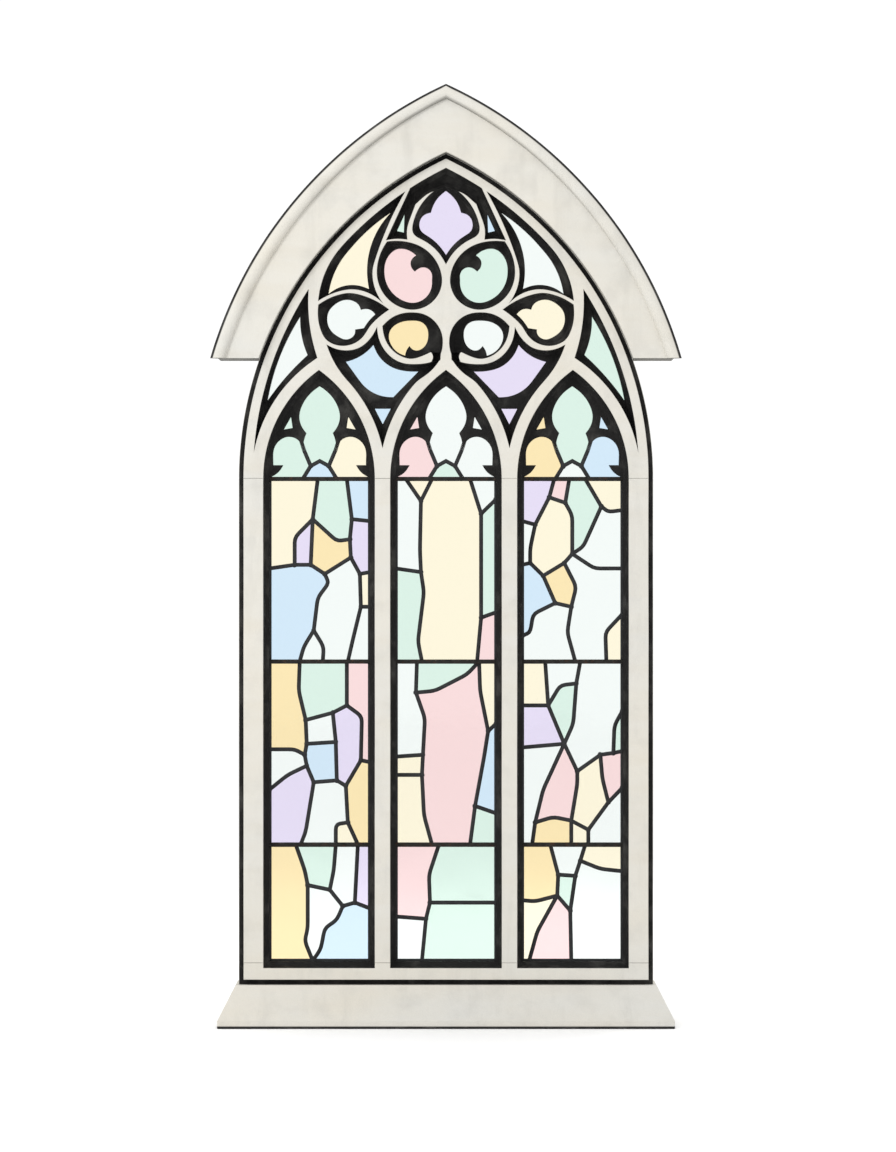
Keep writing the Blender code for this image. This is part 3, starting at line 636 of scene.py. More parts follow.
def light_cutters():
    cutters = []
    for light in LIGHTS:
        cutters += bored(light, offset(light_outline(light), LIGHT_CHAMFER), LIGHT_CHAMFER)
    return cutters


def throat_cutters():
    """What only the jambs, mullions and bottom rail lose: the straight throats of the lights."""
    middle = CUSP_THICKNESS / 2
    cutters = []
    for light in LIGHTS:
        axis = LIGHT_AXIS[light]
        throat = box_outline(axis - HALF_LIGHT, axis + HALF_LIGHT, RAIL_TOP, SPRING + OVERRUN)
        rings = rings_along(throat, [(0.0, PLATE_FRONT - middle), (0.0, middle)])
        cutters.append(solid_between(f"{light}_throat_cutter", rings))
    return cutters


def pocket_cutters():
    """The pockets of the bars in the stones on both sides of each light."""
    half, height = HALF_LIGHT + BAR_POCKET + POCKET_GAP, BAR_HEIGHT / 2 + POCKET_GAP
    depths = (BAR_BACK - BAR_DEPTH - POCKET_GAP, BAR_BACK + POCKET_GAP)
    cutters = []
    for light in LIGHTS:
        axis = LIGHT_AXIS[light]
        for i, middle in enumerate(BAR_MIDDLES):
            pocket = box_outline(axis - half, axis + half, middle - height, middle + height)
            rings = [[(x, y, z) for x, z, _ in pocket] for y in depths]
            cutters.append(solid_between(f"{light}_pocket_{i}_cutter", rings))
    return cutters


def head_cutters():
    """What only the tracery loses: its openings and the cusped piercings."""
    cutters = []
    for light in LIGHTS:
        cutters += pierced(light, head_piercings(light))
    for name, corners, chamfer in blind_hollows():
        rings = rings_along(outline(corners), hollow_profile(chamfer))
        cutters.append(solid_between(f"{name}_cutter", rings))
    for name, front, holes in all_openings():
        cutters += bored(name, outline(front), TRACERY_CHAMFER)
        cutters += pierced(name, holes)
    return cutters


def all_openings():
    """Every tracery opening as (name, its front edge, its piercings)."""
    made = [("soufflet", *soufflet())]
    for name, opening in OPENINGS.items():
        front, holes = opening()
        made.append((f"{name}_right", front, holes))
        made.append((f"{name}_left", mirrored(front), [mirrored(hole) for hole in holes]))
    return made


def blind_hollows():
    """The hollows that go down to the cusps and no further, as (name, edge, chamfer)."""
    return [
        ("under_peak", under_peak(), TRACERY_CHAMFER),
        ("bulb_right", beside_bulb(), BULB_CHAMFER),
        ("bulb_left", mirrored(beside_bulb()), BULB_CHAMFER),
    ]


def make_frame(stone):
    outer = pointed(0.0, HALF_WIDTH, ARCH_RISE, SILL_HEIGHT + CLEARANCE)
    margin = solid_between("margin_cutter", rings_along(outer, margin_profile()), closed=True)
    lights = light_cutters()
    throats = throat_cutters()
    pockets = pocket_cutters()
    heads = head_cutters()
    foot = RAIL_TOP + CLEARANCE
    rail = box_outline(-HALF_WIDTH, HALF_WIDTH, SILL_HEIGHT + CLEARANCE, RAIL_TOP)
    stones = [("bottom_rail", rail)]
    for side, name in ((-1, "left"), (1, "right")):
        edges = sorted((side * HALF_WIDTH, side * (HALF_WIDTH - JAMB_WIDTH)))
        stones.append((f"jamb_{name}", box_outline(*edges, foot, SPRING)))
        edges = sorted((side * HALF_LIGHT, side * (HALF_LIGHT + MULLION_WIDTH)))
        stones.append((f"mullion_{name}", box_outline(*edges, foot, SPRING)))
    for name, shape in stones:
        made = block(f"stone_{name}", shape, stone)
        cut_away(made, [margin, *lights, *throats, *pockets])
        finish_stone(made, name)
    made = block("stone_tracery", arch_over(HALF_WIDTH, ARCH_RISE), stone)
    cut_away(made, [margin, *lights, *heads, *pockets])
    finish_stone(made, "tracery")
    for cutter in (margin, *lights, *throats, *pockets, *heads):
        bpy.data.objects.remove(cutter, do_unlink=True)


def finish_stone(obj, node):
    hand_dressed(obj, STONE_WOBBLE, node)
    shaded(obj)
    dressed(obj, "limestone", node)


def make_hood(stone):
    """The moulded band over the arch: a plain face and a roll with a hollow at its outer edge."""
    low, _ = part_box("hood")
    inner = arc_up(ARCH_RADIUS + CLEARANCE, HALF_WIDTH + CLEARANCE, low.z)
    half, rise = HALF_WIDTH + HOOD_WIDTH, ARCH_RISE + HOOD_CROWN
    rim = arc_up(arch_radius(half, rise), half, low.z)
    rows = []
    for (x0, z0), (x1, z1) in zip(inner, rim):
        width = math.dist((x0, z0), (x1, z1))
        across, up = (x0 - x1) / width, (z0 - z1) / width
        rows.append([(x1 + across * d, y, z1 + up * d) for d, y in hood_section(width)])
    rows += [[(-x, y, z) for x, y, z in row] for row in rows[-2::-1]]
    made = solid_between("stone_hood", rows, stone)
    finish_stone(made, "hood")


def arc_up(radius, half, low):
    """Points right of the axis on a round side over half's springing, from a height to the crown."""
    centre = half - radius
    first, last = math.asin((low - SPRING) / radius), math.acos(-centre / radius)
    angles = np.linspace(first, last, HOOD_ROWS + 1)
    return [(centre + radius * math.cos(a), SPRING + radius * math.sin(a)) for a in angles]


def hood_section(width):
    """Points (distance in from the outer edge, y) round the hood's section."""
    front, roll = FRONT - HOOD_PROJECTION, HOOD_ROLL
    points = [(width, BACK), (width, front + ARRIS), (width - ARRIS, front), (2 * roll, front)]
    for a in np.radians(np.linspace(HOOD_ROLL_FOOT, 180, ROLL_POINTS)):
        points.append((roll + roll * math.cos(a), front - roll * math.sin(a)))
    for a in np.radians(np.linspace(0, 90, COVE_POINTS)):
        points.append((roll * math.sin(a), front + roll * (2 - math.cos(a))))
    points.append((roll, BACK))
    return points


def make_sill(stone):
    """A sill with an upright nose and a top that slopes away on all four sides."""
    foot_x, foot_y = HALF_WIDTH + SILL_OVERHANG, SILL_DEPTH / 2
    seat_x, seat_y = HALF_WIDTH + SILL_SEAT, STONE_DEPTH / 2 + SILL_SEAT
    levels = ((foot_x, foot_y, 0.0), (foot_x, foot_y, SILL_NOSE), (seat_x, seat_y, SILL_HEIGHT))
    corners = ((-1, -1), (1, -1), (1, 1), (-1, 1))
    rings = [[(a * x, b * y, z) for a, b in corners] for x, y, z in levels]
    made = solid_between("stone_sill", rings, stone)
    eased_edges(made, SILL_EDGE, 4)
    shape = bmesh.new()
    shape.from_mesh(made.data)
    for _ in range(SILL_CUTS):
        long = [edge for edge in shape.edges if edge.calc_length() > SILL_GRAIN]
        bmesh.ops.subdivide_edges(shape, edges=long, cuts=1, use_grid_fill=True)
    bmesh.ops.triangulate(shape, faces=shape.faces)
    shape.to_mesh(made.data)
    shape.free()
    finish_stone(made, "sill")


# Iron, leads and glass


def make_bars(iron):
    half = HALF_LIGHT + BAR_POCKET
    for light in LIGHTS:
        axis = LIGHT_AXIS[light]
        for row, z in zip(("low", "high", "top"), BAR_MIDDLES):
            rings = [
                [(x, y, z + up) for y, up in bar_section()]
                for x in np.linspace(axis - half, axis + half, BAR_PIECES + 1)
            ]
            made = solid_between(f"iron_{light}_{row}", rings, iron)
            node = f"saddle_bar_{light}_{row}"
            hand_dressed(made, IRON_WOBBLE, node)
            shaded(made, 40)
            dressed(made, "wrought_iron", node)


def bar_section():
    """A flat iron's section as (y, height), with its corners rounded off."""
    middle = BAR_BACK - BAR_DEPTH / 2
    y, z, r = BAR_DEPTH / 2 - IRON_WOBBLE, BAR_HEIGHT / 2 - IRON_WOBBLE, BAR_CORNER
    points = []
    for sy, sz, first in ((1, 1, 0), (-1, 1, 90), (-1, -1, 180), (1, -1, 270)):
        for a in np.radians((first, first + 45, first + 90)):
            points.append((middle + sy * (y - r) + r * math.cos(a), sz * (z - r) + r * math.sin(a)))
    return points


def joints_of(routes):
    """The points at which three or more leads meet."""
    return {point for point, others in lead_graph(routes).items() if len(others) > 2}


def rounded(route):
    """A lead's route with every point rounded, so that ends that meet are equal."""
    return tuple((round(x, DECIMALS), round(z, DECIMALS)) for x, z in route)


def softened(route, joints):
    """A lead's route with its own bends eased and its joints left where they are."""
    line = [route[0]]
    for before, here, after in zip(route, route[1:], route[2:]):
        if here in joints:
            line.append(here)
            continue
        bend = []
        for other in (before, after):
            share = min(LEAD_BEND / math.dist(here, other), BEND_SHARE)
            bend.append([h + (o - h) * share for h, o in zip(here, other)])
        first, last = bend
        line += rounded(
            [(1 - t) ** 2 * a + 2 * t * (1 - t) * h + t**2 * b for a, h, b in zip(first, here, last)]
            for t in np.linspace(0, 1, BEND_POINTS)
        )
    return [*line, route[-1]]


def flange():
    """The rounded outside of a came's leaf, from its ridge to its edge, as (distance, rise)."""
    half = LEAD_WIDTH / 2
    return [
        (half * math.sin(a), max(LEAD_THICKNESS * math.cos(a) ** LEAF_ROUND, LEAF_EDGE))
        for a in np.radians((0, 22, 44, 64, 80, 90))
    ]


def came_profile(whole=True):
    """Half an H from the ridge in front to the one behind, or only what lies behind the stone."""
    front = [(distance, -rise) for distance, rise in flange()] if whole else [(0.0, 0.0)]
    back = [(distance, GLASS_BACK + rise) for distance, rise in reversed(flange())]
    return [*front, (LEAD_HEART, 0.0), (LEAD_HEART, GLASS_BACK), *back]


def make_leads(name, nets, throat, rebate, lead, node):
    """The cames of one panel with solder on their joints: nets are routes with their profile.

    Leaves before the glass keep within the throat's box, and the rest within the rebate's.
    """
    points, faces = [], []
    for routes, profile in nets:
        for walk in walks(lead_graph(routes)):
            base = len(points)
            for distance, y in profile:
                ring = held_within(inset(walk, distance), *(throat if y < 0 else rebate))
                points += [(x, y, z) for x, z in ring]
            size = len(ring)
            for r in range(len(profile) - 1):
                near, far = base + r * size, base + (r + 1) * size
                for i in range(size):
                    j = (i + 1) % size
                    faces.append((near + i, near + j, far + j, far + i))
    made = mesh_object(name, points, faces, lead)
    shape = bmesh.new()
    shape.from_mesh(made.data)
    for x, z in sorted(joints_of(nets[0][0])):
        if min(abs(z - middle) for middle in BAR_MIDDLES) > BAR_HEIGHT / 2 + SOLDER_REACH:
            add_solder(shape, x, z, throat)
    shape.to_mesh(made.data)
    shape.free()
    shaded(made, 50)
    dressed(made, "lead", node)


def add_solder(shape, x, z, box):
    """A flat blob of solder on each side of a joint, rounded outwards and kept within the box."""
    broad, close = SOLDER_WAVES
    spread = SOLDER_RADIUS * (1 + SOLDER_SPREAD * noise.noise(Vector((x * broad, 0, z * broad))))
    behind = GLASS_BACK + LEAD_THICKNESS - SOLDER_DEPTH
    for y, seed in ((SOLDER_DEPTH - LEAD_THICKNESS, 0.0), (behind, SOLDER_SEED)):
        made = bmesh.ops.create_uvsphere(shape, u_segments=14, v_segments=8, radius=1.0)
        for vertex in made["verts"]:
            spot = Vector((x * close + vertex.co.x, z * close + seed, vertex.co.z))
            lean = 1 + SOLDER_LEAN * noise.noise(spot)
            across, up = vertex.co.x * spread * lean, vertex.co.z * spread * lean
            ((across, up),) = held_within([(x + across, z + up)], *box)
            vertex.co = (across, y + vertex.co.y * SOLDER_RISE, up)


def filled(ring, low, high):
    """A ring and a grid of points inside it, with the triangles between them all."""
    columns, rows = [max(1, int(size / PANE_GRAIN)) for size in high - low]
    grid = [
        low + (high - low) * (j, i) / (columns + 1, rows + 1)
        for i in range(1, rows + 1)
        for j in range(1, columns + 1)
    ]
    spots = [Vector(tuple(point)) for point in (*ring, *grid)]
    border = [list(range(len(ring)))]
    found = geometry.delaunay_2d_cdt(spots, [], border, INSIDE_ALONE, TRIANGLE_REACH)
    return found[0], found[2]


def pane(seed, ring):
    """Points and faces of one piece of hand-made glass: both faces slightly wavy, slightly tilted."""
    ring = np.array(ring)
    low, high = ring.min(axis=0), ring.max(axis=0)
    flat, triangles = filled(ring, low, high)
    tilt = noise.noise_vector(Vector((seed * TILT_SEED, *TILT_PLACE))) * PANE_TILT
    middle = (low + high) / 2
    front = CLEARANCE + PANE_SET
    before, behind = PANE_WAVES
    points = []
    for y, waves, aside, deep in (
        (front, before, seed, 0.0),
        (front + PANE_THICKNESS, behind, 0.0, seed + FACE_SEED),
    ):
        for x, z in flat:
            spot = Vector((x * waves + aside, deep, z * waves))
            lean = (x - middle[0]) * tilt.x + (z - middle[1]) * tilt.z
            points.append((x, y + lean + noise.noise(spot) * PANE_WAVE, z))
    far = len(flat)
    faces = []
    for a, b, c in triangles:
        faces.append((a, b, c))
        faces.append((a + far, c + far, b + far))
    edges = dict.fromkeys(pair for a, b, c in triangles for pair in ((a, b), (b, c), (c, a)))
    faces += [(b, a, a + far, b + far) for a, b in edges if (b, a) not in edges]
    return points, faces


def make_panes(name, rings, tints, node, seed):
    """All panes of one panel as one piece, each with a tint of its own."""
    points, faces, slots = [], [], []
    for i, ring in enumerate(rings):
        some_points, some_faces = pane(seed * PANEL_SEED + i * PANE_SEED, ring)
        base = len(points)
        points += some_points
        faces += [tuple(base + k for k in face) for face in some_faces]
        slots += [tint_for(seed, i)] * len(some_faces)
    mesh = bpy.data.meshes.new(name)
    mesh.from_pydata(points, [], faces)
    for tint in tints:
        mesh.materials.append(tint)
    mesh.polygons.foreach_set("material_index", slots)
    shape = bmesh.new()
    shape.from_mesh(mesh)
    bmesh.ops.recalc_face_normals(shape, faces=shape.faces)
    shape.to_mesh(mesh)
    shape.free()
    made = bpy.data.objects.new(name, mesh)
    bpy.context.scene.collection.objects.link(made)
    mesh.shade_smooth()
    mesh.set_sharp_from_angle(angle=math.radians(40))
    dressed(made, "cathedral_glass", node)


def tint_for(seed, i):
    """Which tint a pane gets: mostly clear and pale, now and then a stronger one."""
    return TINT_ORDER[(seed * 5 + i * 3 + (i * i) % 4) % len(TINT_ORDER)]


def make_glazing(tints, lead):
    inner = HALF_LIGHT - CLEARANCE
    seed = 0
    for light in LIGHTS:
        axis = LIGHT_AXIS[light]
        for row, (z0, z1) in panel_spans().items():
            seed += 1
            throat = (axis - inner, axis + inner, z0, z1)
            foot = z0 - REBATE if row == "low" else z0
            rebate = (throat[0] - REBATE, throat[1] + REBATE, foot, z1)
            routes = panel_routes(light, row, throat)
            joints = joints_of(routes)
            routes = [softened(route, joints) for route in routes]
            nets = [(routes, came_profile())]
            make_leads(f"cames_{light}_{row}", nets, throat, rebate, lead, f"leads_{light}_{row}")
            make_panes(f"panes_{light}_{row}", panes_of(routes), tints, f"glass_{light}_{row}", seed)
        seed += 1
        make_head_glazing(light, tints, lead, seed)
    for name, front, _ in all_openings():
        seed += 1
        shape = outline(front)
        ring = drawn(offset(shape, REBATE - TRACERY_CHAMFER - CLEARANCE), counts_of(shape))
        make_panes(f"pane_{name}", [ring], tints, f"glass_{name}", seed)


def make_head_glazing(light, tints, lead, seed):
    """A light's head: its leads as far as the cusps, and behind them on to the edge of the glass."""
    axis = LIGHT_AXIS[light]
    inner = HALF_LIGHT - CLEARANCE
    foot, crown = SPRING + CLEARANCE, SPRING + LIGHT_RISE
    routes = head_routes(axis)
    arch = head_arch(axis, REBATE - CLEARANCE)
    edge = rounded(drawn(arch, counts_of(arch)))
    hidden = []
    for route in routes[2:]:
        x, z = route[-1]
        side = math.copysign(1, x - axis)
        bend = (x + side * HEAD_BEND[0], z + HEAD_BEND[1])
        aim = (bend[0] + side * HEAD_END[0], bend[1] + HEAD_END[1])
        end = min(edge, key=lambda point: math.dist(point, aim))
        hidden.append((route[-1], *rounded([bend]), end))
    nets = [(routes, came_profile()), (hidden, came_profile(whole=False))]
    throat = (axis - inner, axis + inner, foot, crown)
    rebate = (throat[0] - REBATE, throat[1] + REBATE, foot, crown + REBATE)
    make_leads(f"cames_{light}_head", nets, throat, rebate, lead, f"leads_{light}_head")
    above = [point for point in edge if point[1] > foot + NOTHING]
    corners = [point for point in edge if point[1] <= foot + NOTHING]
    left, right = min(corners), max(corners)
    border = [left, *routes[0], right, *above, left]
    rings = panes_of([border, *routes[1:], *hidden])
    make_panes(f"panes_{light}_head", rings, tints, f"glass_{light}_head", seed)


def panes_of(routes):
    """The outline of the glass in every closed pane of a net."""
    return [
        inset(walk, LEAD_HEART + GLASS_PLAY)
        for walk in walks(lead_graph(routes))
        if area_of(walk) > 0
    ]


def area_of(walk):
    return sum(a[0] * b[1] - b[0] * a[1] for a, b in zip(walk, [*walk[1:], walk[0]]))


# The window's own outlines


def at(across, up):
    """A point of the head, in hundredths of its half width and of its rise."""
    return across * HALF_WIDTH / 100, SPRING + up * ARCH_RISE / 100


def on_arch(up):
    """A point of the arch's inner edge, by its height."""
    x = HALF_WIDTH - ARCH_RADIUS
    z = up * ARCH_RISE / 100
    return x + math.sqrt(INNER_RADIUS**2 - z**2), SPRING + z


def on_band(light, side, up):
    """A point of the band round a light's head, by its height in hundredths of the band's own."""
    centre = LIGHT_AXIS[light] - side * (LIGHT_RADIUS - HALF_LIGHT)
    z = up * BAND_CROWN / 100
    return centre + side * math.sqrt(BAND_RADIUS**2 - z**2), SPRING + z


def arch_swell(half, rise):
    return swell_along((half, 0.0), (0.0, rise), arch_radius(half, rise))


def pointed(axis, half, rise, bottom):
    """A rectangle under a pointed arch."""
    swell = arch_swell(half, rise)
    return outline(
        [
            (axis - half, bottom, 0.0),
            (axis + half, bottom, 0.0),
            (axis + half, SPRING, swell),
            (axis, SPRING + rise, swell),
            (axis - half, SPRING, 0.0),
        ]
    )


def arch_over(half, rise):
    """The head alone of such an arch about the window's axis, from its springing up."""
    swell = arch_swell(half, rise)
    foot = SPRING + CLEARANCE
    return outline([(-half, foot, 0.0), (half, foot, swell), (0.0, SPRING + rise, swell)])


def light_outline(light):
    return pointed(LIGHT_AXIS[light], HALF_LIGHT, LIGHT_RISE, RAIL_TOP)


def head_arch(axis, grow):
    """The pointed head over a light's springing, wider than the light by grow on each side."""
    radius = LIGHT_RADIUS + grow
    half = HALF_LIGHT + grow
    foot = (half, SPRING + CLEARANCE)
    crown = (0.0, SPRING + math.sqrt(radius**2 - (radius - half) ** 2))
    swell = swell_along(foot, crown, radius)
    return outline(
        [(axis - half, foot[1], 0.0), (axis + half, foot[1], swell), (axis, crown[1], swell)]
    )


def shares(rows):
    return [(*at(across, up), swell) for across, up, swell in rows]


# Each tracery opening, right of the axis: its edge on the front face, then the glass seen through it


def soufflet():
    front = both_halves(
        shares([(0, 90.5, 0.13), (16.3, 77.2, 0.21), (13.6, 74.0, -0.10), (0, 65.8, 0)])
    )
    glass = both_halves(
        shares(
            [(0, 89.0, 0.11), (7.3, 82.3, 0.24), (13.0, 78.5, 0.20), (10.0, 75.4, -0.07), (0, 69.1, 0)]
        )
    )
    return front, [glass]


def under_peak():
    """The blind hollow under the arch's peak, which runs into the soufflet's and the eyelets'."""
    peak = (0.0, SPRING + math.sqrt(INNER_RADIUS**2 - (ARCH_RADIUS - HALF_WIDTH) ** 2))
    foot = on_arch(89.2)
    half = [
        (*peak, swell_along(peak, foot, INNER_RADIUS)),
        (*foot, 0),
        *shares([(16.0, 83.5, 0), (8.9, 87.6, 0), (0, 89.6, 0)]),
    ]
    return both_halves(half)


def beside_bulb():
    """The blind hollow that parts the bulb under a lower foil from the stem."""
    return shares([(2.4, 39.2, 0), (2.8, 36.3, 0), (7.0, 35.9, -0.3), (7.2, 38.9, 0)])


def eyelet():
    shoulder, foot = on_arch(92.0), on_arch(89.2)
    front = [
        (*shoulder, swell_along(shoulder, foot, INNER_RADIUS)),
        (*foot, 0),
        (*at(28.9, 73.2), -0.06),
        (*at(18.6, 73.4), -0.06),
        (*at(18.4, 78.0), 0),
    ]
    return front, [shares([(20.1, 81.7, 0), (23.8, 76.5, 0), (20.4, 76.0, 0)])]


def mouchette():
    tip, haunch = on_arch(88.2), on_arch(71.1)
    front = [
        (*tip, swell_along(tip, haunch, INNER_RADIUS)),
        (*haunch, 0.08),
        (*at(61.6, 54.6), -0.06),
        (*at(46.4, 58.2), -0.11),
        (*at(30.3, 53.8), -0.10),
        (*at(35.4, 64.6), -0.03),
    ]
    glass = [(26.0, 82.6, 0.04), (46.4, 71.1, 0.08), (57.0, 57.0, -0.16), (37.3, 58.6, -0.13)]
    return front, [shares(glass)]


def upper_foil():
    front = [
        (28.4, 72.8, 0.05),
        (17.2, 72.5, 0.17),
        (1.8, 60.9, 0.21),
        (16.7, 51.8, 0.21),
        (33.3, 64.6, 0.07),
    ]
    glass = [
        (24.3, 71.1, 0.14),
        (14.3, 69.0, -0.37),
        (15.1, 64.1, 0.48),
        (6.8, 61.5, 0.24),
        (16.7, 54.2, 0.19),
        (29.9, 64.0, 0.15),
    ]
    return shares(front), [shares(glass)]


def side_foil():
    front = [
        (61.5, 53.4, 0.07),
        (46.4, 57.1, 0.07),
        (27.4, 51.9, -0.04),
        (37.4, 46.3, 0.27),
        (58.3, 42.8, 0.09),
    ]
    glass = [
        (34.2, 50.8, 0.23),
        (41.3, 52.3, 0),
        (42.0, 53.9, 0.21),
        (53.9, 53.9, 0.14),
        (57.7, 49.8, 0.17),
        (51.5, 43.7, 0.24),
        (44.7, 44.0, 0.20),
        (44.0, 46.1, 0),
        (39.8, 46.5, -0.05),
    ]
    return shares(front), [shares(glass)]


def lower_foil():
    front = [
        (30.6, 46.8, 0.13),
        (16.3, 51.0, 0.24),
        (1.6, 40.9, 0.07),
        (2.7, 38.0, 0),
        (7.5, 38.8, 0.03),
        (16.3, 36.6, 0.17),
        (30.2, 44.6, 0),
    ]
    glass = [
        (17.7, 41.0, -0.13),
        (19.8, 38.0, 0.14),
        (27.4, 42.5, 0.18),
        (25.5, 47.3, 0.10),
        (16.0, 48.9, 0.28),
        (8.6, 44.3, 0.19),
        (13.6, 39.4, 0.20),
    ]
    return shares(front), [shares(glass)]


def lunette():
    outer, inner = on_band("right", -1, 82.0), on_band("middle", 1, 81.0)
    mid_mullion = PITCH / 2
    reach = mid_mullion - (HALF_LIGHT - LIGHT_RADIUS)
    foot = (mid_mullion, SPRING + math.sqrt(BAND_RADIUS**2 - reach**2))
    front = [
        *shares([(57.5, 41.1, -0.13), (41.3, 40.2, -0.08), (33.2, 46.6, -0.14)]),
        *shares([(23.5, 36.0, -0.07), (15.3, 35.1, -0.07), (2.5, 37.0, 0.08)]),
        (*inner, -swell_along(inner, foot, BAND_RADIUS)),
        (*foot, -swell_along(outer, foot, BAND_RADIUS)),
        (*outer, 0.05),
    ]
    moon = [
        (48.5, 36.2, -0.09),
        (35.2, 41.4, -0.13),
        (23.5, 33.8, -0.04),
        (13.3, 33.2, 0),
        (25.5, 25.2, 0.12),
        (40.8, 29.4, 0),
    ]
    drop = [(34.5, 21.7, 0), (26.7, 21.7, 0), (30.6, 16.9, 0)]
    return front, [shares(moon), shares(drop)]


def spandrel():
    top, corner = on_arch(58.2), on_band("right", 1, 99.1)
    band, z = on_band("right", 1, 21.4)
    foot = ((on_arch((z - SPRING) * 100 / ARCH_RISE)[0] + band) / 2, z)
    front = [
        (*top, -0.05),
        (*corner, -swell_along(corner, foot, BAND_RADIUS)),
        (*foot, swell_along(top, foot, INNER_RADIUS)),
    ]
    return front, [shares([(70.6, 50.2, -0.06), (67.0, 38.2, -0.03), (86.5, 24.0, 0.05)])]


OPENINGS = {
    "eyelet": eyelet,
    "mouchette": mouchette,
    "upper_foil": upper_foil,
    "side_foil": side_foil,
    "lower_foil": lower_foil,
    "lunette": lunette,
    "spandrel": spandrel,
}


def head_piercings(light):
    """A light's cusped head and its two eyelets, in hundredths of its half width and rise."""
    axis = LIGHT_AXIS[light]

    def placed(corners, side=1):
        return [
            (axis + side * u * HALF_LIGHT / 100, SPRING + v * LIGHT_RISE / 100, swell)
            for u, v, swell in corners
        ]

    half = [
        (0, 91.4, 0.11),
        (40.9, 63.9, 0.12),
        (26.3, 45.2, 0),
        (31.9, 38.3, 0),
        (32.9, 30.9, 0.17),
        (60.9, 42.2, 0.23),
        (92.2, 20.6, 0),
        (92.2, 13.5, 0),
        (72.5, 13.5, -0.12),
        (99, 1.5, 0),
        (99, -8, 0),
        (0, -8, 0),
    ]
    drop = [(56.9, 61.4, 0), (71.5, 48.6, 0), (53.5, 50.1, 0)]
    return placed(both_halves(half)), placed(drop), placed(drop, -1)


# Routes of the leads, each panel's in hundredths of its width and height from its lower left

LEADS = {
    ("left", "top"): (
        ((48, 100), (43, 78), (41, 53)),
        ((0, 51), (25, 53), (41, 53), (55, 48), (81, 57)),
        ((43, 78), (25, 68), (25, 53)),
        ((43, 78), (67, 66), (80, 67)),
        ((77, 100), (82, 78), (80, 67), (81, 57)),
        ((82, 78), (100, 77)),
        ((81, 57), (90, 48), (100, 49)),
        ((90, 48), (91, 30), (100, 30)),
        ((91, 30), (83, 12), (78, 0)),
        ((55, 48), (59, 43), (48, 35), (44, 17), (34, 8), (30, 0)),
        ((44, 17), (54, 8), (53, 0)),
    ),
    ("left", "middle"): (
        ((30, 100), (29, 84), (36, 68), (37, 55), (35, 49), (37, 43), (44, 34)),
        ((77, 100), (77, 76)),
        ((36, 68), (63, 72), (77, 76), (92, 70), (91, 46), (76, 32)),
        ((63, 72), (66, 56), (67, 35)),
        ((37, 55), (66, 56)),
        ((91, 46), (100, 45)),
        ((0, 52), (25, 52), (35, 49)),
        ((0, 30), (18, 38), (37, 43)),
        ((44, 34), (67, 35), (76, 32)),
        ((44, 34), (36, 7), (31, 0)),
        ((76, 32), (78, 12), (88, 0)),
        ((78, 12), (66, 11), (66, 0)),
    ),
    ("left", "low"): (
        ((26, 100), (35, 78), (38, 65), (38, 28), (35, 17), (43, 0)),
        ((66, 100), (64, 78), (60, 61)),
        ((38, 65), (60, 61), (73, 47), (67, 35), (55, 28), (51, 10), (43, 0)),
        ((73, 47), (85, 50), (100, 45)),
        ((88, 100), (85, 50)),
    ),
    ("middle", "top"): (
        ((10, 100), (25, 88), (36, 100)),
        ((25, 88), (24, 61), (25, 49), (28, 38), (22, 11), (26, 0)),
        ((0, 51), (25, 49)),
        ((74, 100), (85, 81)),
        ((100, 89), (85, 81), (85, 24), (81, 0)),
        ((85, 24), (100, 27)),
    ),
    ("middle", "middle"): (
        ((21, 100), (20, 83), (29, 69), (27, 49), (26, 38), (28, 16), (36, 0)),
        ((83, 100), (71, 93), (39, 84), (20, 83)),
        ((83, 100), (84, 84), (92, 62)),
        ((100, 66), (92, 62), (88, 48), (79, 21), (74, 0)),
        ((0, 48), (27, 49)),
        ((0, 38), (26, 38)),
        ((79, 21), (100, 17)),
    ),
    ("middle", "low"): (
        ((43, 100), (33, 74), (34, 50), (30, 36), (26, 0)),
        ((34, 50), (100, 50)),
        ((0, 38), (30, 36)),
    ),
    ("right", "top"): (
        ((32, 100), (27, 90), (13, 75), (8, 62), (8, 54)),
        ((0, 77), (13, 75)),
        ((0, 53), (8, 54), (21, 47)),
        ((27, 90), (43, 87), (50, 80), (50, 59), (42, 54), (21, 47), (33, 32)),
        ((47, 100), (43, 87)),
        ((63, 100), (79, 85), (86, 82), (100, 83)),
        ((79, 85), (61, 63), (50, 59)),
        ((50, 59), (72, 51), (100, 51)),
        ((42, 54), (54, 41), (49, 30), (33, 32)),
        ((33, 32), (11, 26), (8, 16), (0, 14)),
        ((49, 30), (45, 16), (53, 0)),
        ((100, 26), (83, 16), (84, 0)),
    ),
    ("right", "middle"): (
        ((23, 100), (26, 76), (42, 55)),
        ((0, 76), (26, 76)),
        ((58, 100), (54, 88), (51, 66), (42, 55)),
        ((54, 88), (38, 87), (26, 76)),
        ((0, 53), (42, 55), (21, 30), (13, 12), (10, 0)),
        ((42, 55), (55, 40), (55, 33), (49, 13), (49, 0)),
        ((55, 40), (78, 49), (91, 50), (100, 51)),
        ((100, 73), (92, 65), (91, 50)),
        ((78, 49), (80, 36), (86, 23)),
        ((100, 31), (86, 23), (66, 8), (66, 0)),
        ((13, 12), (31, 15), (49, 13), (66, 8)),
    ),
    ("right", "low"): (
        ((28, 100), (36, 74), (35, 56), (48, 43)),
        ((0, 52), (13, 51), (35, 56), (15, 25), (7, 0)),
        ((63, 100), (58, 86), (53, 73), (48, 43), (49, 0)),
        ((36, 74), (53, 73)),
        ((58, 86), (78, 79), (100, 77)),
    ),
}

